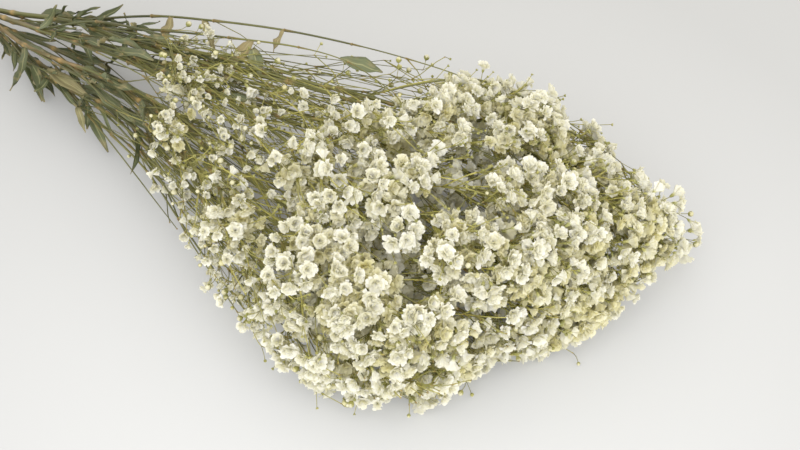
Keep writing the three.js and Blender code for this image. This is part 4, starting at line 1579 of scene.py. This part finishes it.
def petal_material(colours):
    """Papery petals, yellower at their foot, where the tint is also painted shade deep in the
    flower, from white when fresh to yellow and brown, with painted shade that yellows and darkens
    flowers under others.
    """
    nodes = Nodes("dried_petals", 0.75)
    fresh, aged_and_shaded, old = colours.petal, colours.petal_aged_and_shaded, colours.petal_old
    # Painted shade: a flower's tone rises with its shelter under other flowers as well as with its
    # age, so the aged colour also stands for shade.
    tones = (0.0, fresh), (0.2, fresh), (0.86, aged_and_shaded), (1.0, old)
    by_age_and_shade = nodes.ramp(nodes.attribute("tone"), *tones)
    # Partly painted shade: the foot tint is the petals' own yellow-green base, and also painted
    # shade deep in the flower.
    foot = nodes.ramp(nodes.attribute("depth"), (0.05, colours.petal_foot_and_shade), (0.3, WHITE))
    tinted = nodes.times(by_age_and_shade, foot)
    mottle = nodes.ramp(nodes.noise(420.0, 3.0), (0.3, (0.9, 0.88, 0.82)), (0.7, WHITE))
    colour = nodes.times(tinted, mottle)
    nodes.colour(colour)
    nodes.bump(nodes.noise(1700.0, 3.0), 0.35, 0.0003)
    warm = nodes.times(colour, colours.petal_glow)
    nodes.let_light_through(warm, PETAL_LETS_THROUGH)
    return nodes.material


def calyx_material(colours):
    """Green cups that pale towards their teeth."""
    nodes = Nodes("dried_calyxes", 0.7)
    heights = (0.0, colours.calyx), (0.55, colours.calyx), (1.0, colours.calyx_tip)
    by_height = nodes.ramp(nodes.attribute("depth"), *heights)
    tone = nodes.ramp(nodes.attribute("tone"), (0.0, (0.75, 0.78, 0.7)), (1.0, (1.12, 1.08, 0.95)))
    tinted = nodes.times(by_height, tone)
    speckle = nodes.ramp(nodes.noise(900.0), (0.35, (0.86, 0.84, 0.76)), (0.65, WHITE))
    nodes.colour(nodes.times(tinted, speckle))
    return nodes.material


def twig_material(colours):
    """Dried stems: olive to yellow-green, some of them brown, tan at every joint."""
    nodes = Nodes("dried_twigs", 0.55)
    grain = nodes.attribute("grain", "Vector")
    ages = (0.0, colours.twig), (0.55, colours.stem), (1.0, colours.stem_brown)
    by_age = nodes.ramp(nodes.attribute("age"), *ages)
    tone = nodes.ramp(nodes.attribute("tone"), (0.0, (0.5, 0.52, 0.42)), (1.0, (1.25, 1.2, 1.0)))
    tinted = nodes.times(by_age, tone)
    streaks = nodes.noise(1.0, 3.0, nodes.stretched(grain, (0.07, 2.2, 2.2)))
    streaked = nodes.ramp(streaks, (0.3, (0.68, 0.66, 0.6)), (0.7, (1.12, 1.1, 1.05)))
    tinted = nodes.blend(0.8, tinted, streaked, "MULTIPLY")
    blotch = nodes.ramp(nodes.noise(60.0, 3.0), (0.52, BLACK), (0.66, WHITE))
    brownness = nodes.ramp(nodes.attribute("age"), (0.45, BLACK), (0.9, WHITE))
    patchy = nodes.times(blotch, brownness)
    tinted = nodes.blend(patchy, tinted, colours.stem_brown)
    nodes.colour(nodes.blend(nodes.attribute("joint"), tinted, colours.joint))
    nodes.bump(streaks, 0.5, 0.0004)
    return nodes.material


def leaf_material(colours):
    """Dried leaves, green to tan, with a pale midrib, fine veins and browned tips."""
    nodes = Nodes("dried_leaves", 0.7)
    place_on = nodes.add("ShaderNodeSeparateXYZ")
    nodes.link(nodes.attribute("blade", "Vector"), place_on.inputs[0])
    along, sideways = place_on.outputs[0], place_on.outputs[1]
    ages = (0.0, colours.leaf), (0.5, colours.leaf_grey), (1.0, colours.leaf_tan)
    by_age = nodes.ramp(nodes.attribute("age"), *ages)
    distance = nodes.add("ShaderNodeMath", operation="ABSOLUTE")
    nodes.link(sideways, distance.inputs[0])
    rib = nodes.ramp(distance.outputs[0], (0.03, (0.3, 0.3, 0.3)), (0.14, BLACK))
    ribbed = nodes.blend(rib, by_age, colours.calyx_tip)
    veins = nodes.noise(1.0, 3.0, nodes.stretched(nodes.attribute("blade", "Vector"), (3, 9, 1)))
    veined = nodes.ramp(veins, (0.3, (0.66, 0.66, 0.62)), (0.7, (1.15, 1.13, 1.05)))
    tinted = nodes.times(ribbed, veined)
    blotch = nodes.ramp(nodes.noise(110.0, 4.0), (0.54, BLACK), (0.7, (0.5, 0.5, 0.5)))
    tinted = nodes.blend(blotch, tinted, colours.leaf_tan)
    tip = nodes.ramp(along, (0.86, BLACK), (1.0, (0.4, 0.4, 0.4)))
    nodes.colour(nodes.blend(tip, tinted, colours.leaf_tan))
    nodes.bump(veins, 0.6, 0.0004)
    return nodes.material


def band_material(colours):
    """Dull natural rubber with a bloom of dust."""
    nodes = Nodes("elastic_rubber", 0.6)
    dusty = [mix(channel, 0.75, 0.4) for channel in colours.band]
    nodes.colour(nodes.ramp(nodes.noise(260.0, 4.0), (0.35, colours.band), (0.75, dusty)))
    nodes.bump(nodes.noise(1500.0), 0.2, 0.0002)
    return nodes.material


# ---- Settings ---------------------------------------------------------------
def colour_property(name, description, default):
    return bpy.props.FloatVectorProperty(
        name=name, description=description, default=default, size=3, subtype="COLOR", min=0, max=2
    )


def number_property(name, description, default, **more):
    settings = {"name": name, "description": description, "default": default, "min": 0}
    return bpy.props.FloatProperty(**settings, **more)


def length_property(name, description, default):
    return number_property(name, description, default, unit="LENGTH")


def angle_property(name, description, degrees):
    return number_property(name, description, math.radians(degrees), subtype="ANGLE")


class GypsophilaSizes(bpy.types.PropertyGroup):
    """Sizes of the parts that the bunch bears."""

    flower_width: length_property("Flower width", "Across a flower that is fully open", 0.0098)


class GypsophilaColours(bpy.types.PropertyGroup):
    """Colours of the dried plant."""

    petal: colour_property("Petal", "A newly dried flower", (0.86, 0.86, 0.85))
    # Both a flower that has yellowed and the painted shade of flowers sheltered under others.
    petal_aged_and_shaded: colour_property("Aged petal", "A flower that has yellowed", (0.77, 0.73, 0.40))
    petal_old: colour_property("Old petal", "A flower that has browned", (0.50, 0.35, 0.17))
    # The petals' own yellow-green base, and painted shade deep in the flower.
    petal_foot_and_shade: colour_property("Petal foot", "Tints a petal at its foot", (0.80, 0.80, 0.42))
    petal_glow: colour_property("Petal glow", "Tints light through a petal", (0.97, 0.93, 0.46))
    calyx: colour_property("Calyx", "The cup under a flower", (0.27, 0.265, 0.07))
    calyx_tip: colour_property("Calyx teeth", "The pale edge of the cup", (0.52, 0.50, 0.23))
    twig: colour_property("Twig", "The finest twigs", (0.29, 0.275, 0.06))
    stem: colour_property("Stem", "The main stems", (0.05, 0.059, 0.011))
    stem_brown: colour_property("Brown stem", "Stems that dried brown", (0.16, 0.1, 0.032))
    joint: colour_property("Joint", "The swollen joints", (0.27, 0.165, 0.045))
    leaf: colour_property("Leaf", "Leaves that dried green", (0.042, 0.053, 0.012))
    leaf_grey: colour_property("Grey leaf", "Leaves that dried grey-green", (0.105, 0.125, 0.055))
    leaf_tan: colour_property("Tan leaf", "Leaves that dried tan", (0.25, 0.185, 0.075))
    band: colour_property("Band", "The elastic band", (0.56, 0.37, 0.18))


class GypsophilaStage(bpy.types.PropertyGroup):
    """Floor, light and camera."""

    floor: colour_property("Floor", "The pale floor", (0.482, 0.488, 0.505))
    key_power: number_property("Key light", "Power of the large soft light", 10.2, unit="POWER")
    fill_strength: number_property("Fill light", "Strength of the even light all round", 1.35)
    gamma: number_property("Gamma", "Lifts the middle tones of the picture", 1.2)
    camera_distance: length_property("Camera distance", "From the middle of the head", 0.68)
    camera_turn: angle_property("Camera turn", "Round the bunch", 35)
    camera_height: angle_property("Camera height", "Above the table", 54)


# ---- Pieces -----------------------------------------------------------------
# Stems and twigs: their sides, how they swell and turn tan at a joint, and how old they look from
# their lower parts to the head.
STEM_STEP = 3.2
STEM_SIDES = 8
TWIG_SIDES = ((0.7, 5), (0.42, 4), (0, 3))  # thicker than this radius, a twig has so many sides
BAND_SIDES = 10
FIRST_SWOLLEN = 3  # of a stem's joints: the ones before it, from the cut end to the band, aren't
NO_JOINT_NEAR = 99
STEM_JOINT = {"reach": 2.4, "swelling": 0.4, "tan": 0.9}
TWIG_JOINT = {"reach": 1.6, "swelling": 0.7, "tan": 0.8, "foot": 0.6, "tip": 0.95}
STEM_AGE = {"over": (230, 420), "head": 0.35, "low": 0.45, "brown": 0.5}
TWIG_AGE = {"over": (230, 400), "low": 0.42, "thick": 0.3, "stout": 0.1}

def node_name(growth):
    return f"stem_{growth.number + 1:02d}"


def seat_piece(piece, slot, *nodes):
    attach(piece, "root")
    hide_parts(*nodes)


def seat_on_stem(pile, growth, kind, material, slot):
    """Makes one kind of a stem's pieces, in place of the stem's solid."""
    piece = pile.make(f"{node_name(growth)}_{kind}", material)
    seat_piece(piece, slot, node_name(growth))


def stem_path(line):
    """A stem's middle line, curved between its joints, its radii, and how near a joint is."""
    points, radii, joint = [], [], []
    for k in range(len(line) - 1):
        a, b = line[k], line[k + 1]
        length = np.linalg.norm(b["at"] - a["at"])
        leaving, arriving = direction_at(line, k), direction_at(line, k + 1)
        steps = max(3, int(length / STEM_STEP))
        path = curve(a["at"], leaving, b["at"], arriving, steps)
        last = k == len(line) - 2
        count = steps + 1 if last else steps
        t = np.linspace(0, 1, steps + 1)[:count]
        points.append(path[:count])
        radii.append(mix(a["radius"], b["radius"], t))
        from_joint = np.where(k >= FIRST_SWOLLEN, t * length, NO_JOINT_NEAR)
        to_joint = np.where(k + 1 >= FIRST_SWOLLEN, (1 - t) * length, NO_JOINT_NEAR)
        joint.append(np.exp(-((np.minimum(from_joint, to_joint) / STEM_JOINT["reach"]) ** 2)))
    return np.concatenate(points), np.concatenate(radii), np.concatenate(joint)


class BunchOperator(bpy.types.Operator):
    """Shared by the operators that make pieces."""

    bl_options = {"REGISTER", "UNDO"}

    @property
    def colours(self):
        return bpy.context.scene.gypsophila_colours


class GYPSOPHILA_OT_twigs(BunchOperator):
    """Makes the stems with their joints, sprays, twigs and stalks"""

    bl_idname = "gypsophila.twigs"
    bl_label = "Stems and Twigs"

    def execute(self, context):
        material = twig_material(self.colours)
        for growth in grow_bunch():
            pile = Pile(grain=3, joint=1, tone=1, age=1)
            self.add_stem(pile, growth)
            for twig in growth.twigs:
                self.add_twig(pile, twig)
            seat_on_stem(pile, growth, "twigs", material, "stems")
        return {"FINISHED"}

    def add_stem(self, pile, growth):
        path, radii, joint = stem_path(growth.line)
        swollen = radii * (1 + STEM_JOINT["swelling"] * joint)
        points, faces, grain, ring_of = rod(path, swollen, STEM_SIDES)
        lower = 1 - ease(*STEM_AGE["over"], path[:, 0])
        low = STEM_AGE["low"] + STEM_AGE["brown"] * STEMS[growth.number]["brown"] ** 1.4
        age = np.clip(mix(STEM_AGE["head"], low, lower), 0, 1)[ring_of]
        joint = joint[ring_of] * STEM_JOINT["tan"]
        pile.add(points, faces, grain=grain, joint=joint, tone=0.5, age=age)

    def add_twig(self, pile, twig):
        path = twig["path"]
        radii = np.linspace(*twig["radii"], len(path))
        sides = next(sides for thinnest, sides in TWIG_SIDES if radii[0] > thinnest)
        joint = np.zeros(len(path))
        if twig["swollen"]:
            length = np.linalg.norm(path[-1] - path[0])
            back = min(TWIG_JOINT["reach"], length * 0.2)
            extra = path[-1] - unit(path[-1] - path[-2]) * back
            path = np.concatenate([path[:-1], [extra], path[-1:]])
            radii = np.append(radii, radii[-1])
            joint = np.zeros(len(path))
            joint[0], joint[-1] = TWIG_JOINT["foot"], TWIG_JOINT["tip"]
            radii = radii * (1 + TWIG_JOINT["swelling"] * joint)
        points, faces, grain, ring_of = rod(path, radii, sides)
        lower = float(1 - ease(*TWIG_AGE["over"], path[0, 0]))
        age = max(TWIG_AGE["low"] * lower, TWIG_AGE["thick"] * (radii[0] > 0.6))
        age = age + TWIG_AGE["stout"] * (radii[0] > 0.5)
        joint = joint[ring_of] * TWIG_JOINT["tan"]
        pile.add(points, faces, grain=grain, joint=joint, tone=twig["tone"], age=age)


class GYPSOPHILA_OT_flowers(BunchOperator):
    """Makes the double flowers and the round buds"""

    bl_idname = "gypsophila.flowers"
    bl_label = "Flowers and Buds"

    def execute(self, context):
        material = petal_material(self.colours)
        opens = np.linspace(*OPENNESS, FLOWER_SHAPES)
        shapes = [
            [flower_shape(SEEDS["flower"] + k, opens[k], whorls) for k in range(FLOWER_SHAPES)]
            for whorls in (FINE_WHORLS, PLAIN_WHORLS, HIDDEN_WHORLS)
        ]
        bud_shapes = [bud_shape(SEEDS["bud"] + k) for k in range(BUD_SHAPES)]
        find_shelter([flower for growth in grow_bunch() for flower in growth.flowers])
        for growth in grow_bunch():
            random = np.random.default_rng(SEEDS["flowers"] + growth.number)
            pile = Pile(depth=1, tone=1)
            for flower in growth.flowers:
                self.add_flower(pile, flower, shapes[detail(flower)], random)
            for bud in growth.buds:
                if bud["radius"] >= SMALL_BUD:
                    self.add_bud(pile, bud, bud_shapes, random)
            seat_on_stem(pile, growth, "flowers", material, "petals")
        return {"FINISHED"}

    def add_flower(self, pile, flower, shapes, random):
        size = bpy.context.scene.gypsophila_sizes.flower_width / (2 * FLOWER_RADIUS * MM)
        closed = 1 - vigour(flower["at"][0])
        opened = int(FLOWER_SHAPES * random.random() ** (OPENS["head"] + OPENS["young"] * closed))
        points, faces, depth = shapes[opened]
        shape = turned(points, flower["facing"], random)
        # Painted shade: the tone holds the flower's shelter under other flowers as well as its
        # age.
        tone = age_and_painted_shade(flower, random)
        at = flower["at"] + shape * flower["scale"] * size
        at[:, 2] = np.maximum(at[:, 2], 0.05)
        pile.add(at, faces, depth=depth, tone=tone)

    def add_bud(self, pile, bud, shapes, random):
        points, faces, depth = shapes[int(random.integers(len(shapes)))]
        at = bud["at"] + turned(points, bud["facing"], random) * bud["radius"]
        foot, further = BUD_TINT
        pile.add(at, faces, depth=foot + further * depth, tone=random.uniform(*BUD_AGE))


class GYPSOPHILA_OT_calyxes(BunchOperator):
    """Makes the green cups under the flowers and buds"""

    bl_idname = "gypsophila.calyxes"
    bl_label = "Calyxes"

    def execute(self, context):
        material = calyx_material(self.colours)
        fine, plain, holding = (cup_shape(*cup) for cup in (FINE_CUP, PLAIN_CUP, BUD_CUP))
        shapes = (fine, plain, plain)
        for growth in grow_bunch():
            random = np.random.default_rng(SEEDS["calyxes"] + growth.number)
            pile = Pile(depth=1, tone=1)
            spots = [(shapes[detail(f)], f, f["scale"]) for f in growth.flowers]
            spots += [(holding, bud, bud["radius"]) for bud in growth.buds]
            for (points, faces, depth), spot, scale in spots:
                at = spot["at"] + turned(points, spot["facing"], random) * scale
                pile.add(at, faces, depth=depth, tone=random.random())
            seat_on_stem(pile, growth, "calyxes", material, "buds")
        return {"FINISHED"}


class GYPSOPHILA_OT_leaves(BunchOperator):
    """Makes the narrow dried leaves"""

    bl_idname = "gypsophila.leaves"
    bl_label = "Leaves"

    def execute(self, context):
        grown = grow_bunch()
        for i, foot, tip, width, age in BROAD_LEAVES:
            self.seat_leaf(grown[i], foot, tip, width, age)
        for growth in grown:
            for _ in range(LOW_LEAF["count"]):
                self.seat_leaf(growth, *low_leaf(growth))
        pile = Pile(blade=3, age=1)
        random = np.random.default_rng(SEEDS["leaf_sheets"])
        for growth in grown:
            for leaf in growth.leaves:
                points, faces, blade = leaf_sheet(leaf, random)
                pile.add(points, faces, blade=blade, age=leaf["age"])
        piece = pile.make("leaves", leaf_material(self.colours))
        seat_piece(piece, "leaves", *[node_name(growth) for growth in grown])
        return {"FINISHED"}

    def seat_leaf(self, growth, foot, tip, width, age):
        """Adds a leaf, its foot at the nearest point of a twig or stem that can carry it."""
        paths = [twig["path"] for twig in growth.twigs if twig["radii"][0] > THINNEST_CARRIER]
        spots = np.concatenate([*paths, stem_path(growth.line)[0]])
        nearest = spots[np.linalg.norm(spots - foot, axis=1).argmin()]
        way = tip - nearest
        length = np.linalg.norm(way)
        droop = rolled(growth.random, 0.25)
        heading = unit(way / length - droop * LEAF_DROOP)
        growth.add_leaf(nearest, heading, droop, length, width * BROADER, age)


class GYPSOPHILA_OT_band(BunchOperator):
    """Makes the elastic band round the stems"""

    bl_idname = "gypsophila.band"
    bl_label = "Elastic Band"

    def execute(self, context):
        pile = Pile(grain=3)
        points, faces, grain, _ = rod(band_path(), BAND_THICKNESS / 2, BAND_SIDES)
        pile.add(points, faces, grain=grain)
        piece = pile.make("band_wraps", band_material(self.colours))
        seat_piece(piece, "elastic", "elastic_band")
        return {"FINISHED"}


# The stage, in metres. The floor's colour holds painted light: it is palest under the head, and a
# painted falloff of light darkens it further from the bunch. The shift is what moves the head to
# where the floor is palest.
FLOOR_REACH = 6.0
FLOOR_CORNERS = ((-1, -1), (1, -1), (1, 1), (-1, 1))
FLOOR_PAINTED_SHADE = 0.82
FLOOR_PAINTED_LIGHT_POOL = {"shift": (-0.19, 0.02, 0), "from": 0.66, "to": 0.88}
KEY_LIGHT = {"at": (0.49, -0.54, 0.6), "toward": (0.12, 0.0, 0.03), "width": 1.4}
KEY_COLOUR = (0.955, 0.978, 1.0)
FILL_COLOUR = (1.0, 0.965, 0.87, 1)
CAMERA_TOWARD = (0.1717, 0.0065, 0.04)
CAMERA_LENS = 50


class GYPSOPHILA_OT_stage(BunchOperator):
    """Makes the pale floor, the soft light and the camera"""

    bl_idname = "gypsophila.stage"
    bl_label = "Stage"

    def execute(self, context):
        stage = context.scene.gypsophila_stage
        self.add_floor(stage)
        self.add_light(context, stage)
        self.add_camera(context, stage)
        return {"FINISHED"}

    def add_floor(self, stage):
        nodes = Nodes("pale_floor", 0.9)
        # Painted light: the floor's colour darkens away from the head, a painted falloff round a
        # pool of light.
        near = nodes.add("ShaderNodeTexGradient", gradient_type="SPHERICAL")
        shift = nodes.add("ShaderNodeMapping")
        shift.inputs["Location"].default_value = FLOOR_PAINTED_LIGHT_POOL["shift"]
        nodes.link(nodes.add("ShaderNodeTexCoord").outputs["Object"], shift.inputs["Vector"])
        nodes.link(shift.outputs["Vector"], near.inputs["Vector"])
        painted_shade_floor = [channel * FLOOR_PAINTED_SHADE for channel in stage.floor]
        stops = (FLOOR_PAINTED_LIGHT_POOL["from"], painted_shade_floor), (FLOOR_PAINTED_LIGHT_POOL["to"], tuple(stage.floor))
        nodes.colour(nodes.ramp(near.outputs["Fac"], *stops))
        mesh = bpy.data.meshes.new("floor")
        corners = [(x * FLOOR_REACH, y * FLOOR_REACH, 0) for x, y in FLOOR_CORNERS]
        mesh.from_pydata(corners, [], [(0, 1, 2, 3)])
        mesh.materials.append(nodes.material)
        floor = bpy.data.objects.new("floor", mesh)
        bpy.context.scene.collection.objects.link(floor)

    def add_light(self, context, stage):
        world = bpy.data.worlds.new("soft_room")
        world.use_nodes = True
        background = world.node_tree.nodes["Background"]
        background.inputs["Color"].default_value = FILL_COLOUR
        background.inputs["Strength"].default_value = stage.fill_strength
        context.scene.world = world
        light = bpy.data.lights.new("key", "AREA")
        light.shape = "DISK"
        light.size = KEY_LIGHT["width"]
        light.energy = stage.key_power
        light.color = KEY_COLOUR
        key = bpy.data.objects.new("key", light)
        key.location = KEY_LIGHT["at"]
        context.scene.collection.objects.link(key)
        aim(key, KEY_LIGHT["toward"])

    def add_camera(self, context, stage):
        a, e = stage.camera_turn, stage.camera_height
        back = np.array((math.sin(a) * math.cos(e), -math.cos(a) * math.cos(e), math.sin(e)))
        camera = bpy.data.objects.new("camera", bpy.data.cameras.new("camera"))
        camera.data.lens = CAMERA_LENS
        camera.data.clip_start = 0.01
        camera.location = CAMERA_TOWARD + back * stage.camera_distance
        context.scene.collection.objects.link(camera)
        aim(camera, CAMERA_TOWARD)
        context.scene.camera = camera
        context.scene.view_settings.view_transform = "Standard"
        context.scene.view_settings.gamma = stage.gamma


def aim(thing, target):
    """Turns a light or camera to look at a point, with its top up."""
    way = Vector(target) - thing.location
    thing.rotation_euler = way.to_track_quat("-Z", "Y").to_euler()


class GYPSOPHILA_PT_panel(bpy.types.Panel):
    """Lists what makes up the bunch"""

    bl_label = "Dried Gypsophila Bunch"
    bl_idname = "GYPSOPHILA_PT_panel"
    bl_space_type = "VIEW_3D"
    bl_region_type = "UI"
    bl_category = "Gypsophila"

    def draw(self, context):
        for operator in OPERATORS:
            self.layout.operator(operator.bl_idname)
        for group, kind in GROUPS.items():
            for name in kind.__annotations__:
                self.layout.prop(getattr(context.scene, group), name)


OPERATORS = (
    GYPSOPHILA_OT_twigs,
    GYPSOPHILA_OT_flowers,
    GYPSOPHILA_OT_calyxes,
    GYPSOPHILA_OT_leaves,
    GYPSOPHILA_OT_band,
    GYPSOPHILA_OT_stage,
)
GROUPS = {
    "gypsophila_sizes": GypsophilaSizes,
    "gypsophila_colours": GypsophilaColours,
    "gypsophila_stage": GypsophilaStage,
}


def register():
    for cls in (*GROUPS.values(), *OPERATORS, GYPSOPHILA_PT_panel):
        bpy.utils.register_class(cls)
    for name, group in GROUPS.items():
        setattr(bpy.types.Scene, name, bpy.props.PointerProperty(type=group))


def unregister():
    for name in GROUPS:
        delattr(bpy.types.Scene, name)
    for cls in reversed((*GROUPS.values(), *OPERATORS, GYPSOPHILA_PT_panel)):
        bpy.utils.unregister_class(cls)


def main():
    register()
    for operator in OPERATORS:
        group, name = operator.bl_idname.split(".")
        getattr(getattr(bpy.ops, group), name)()


if __name__ == "__main__":
    main()
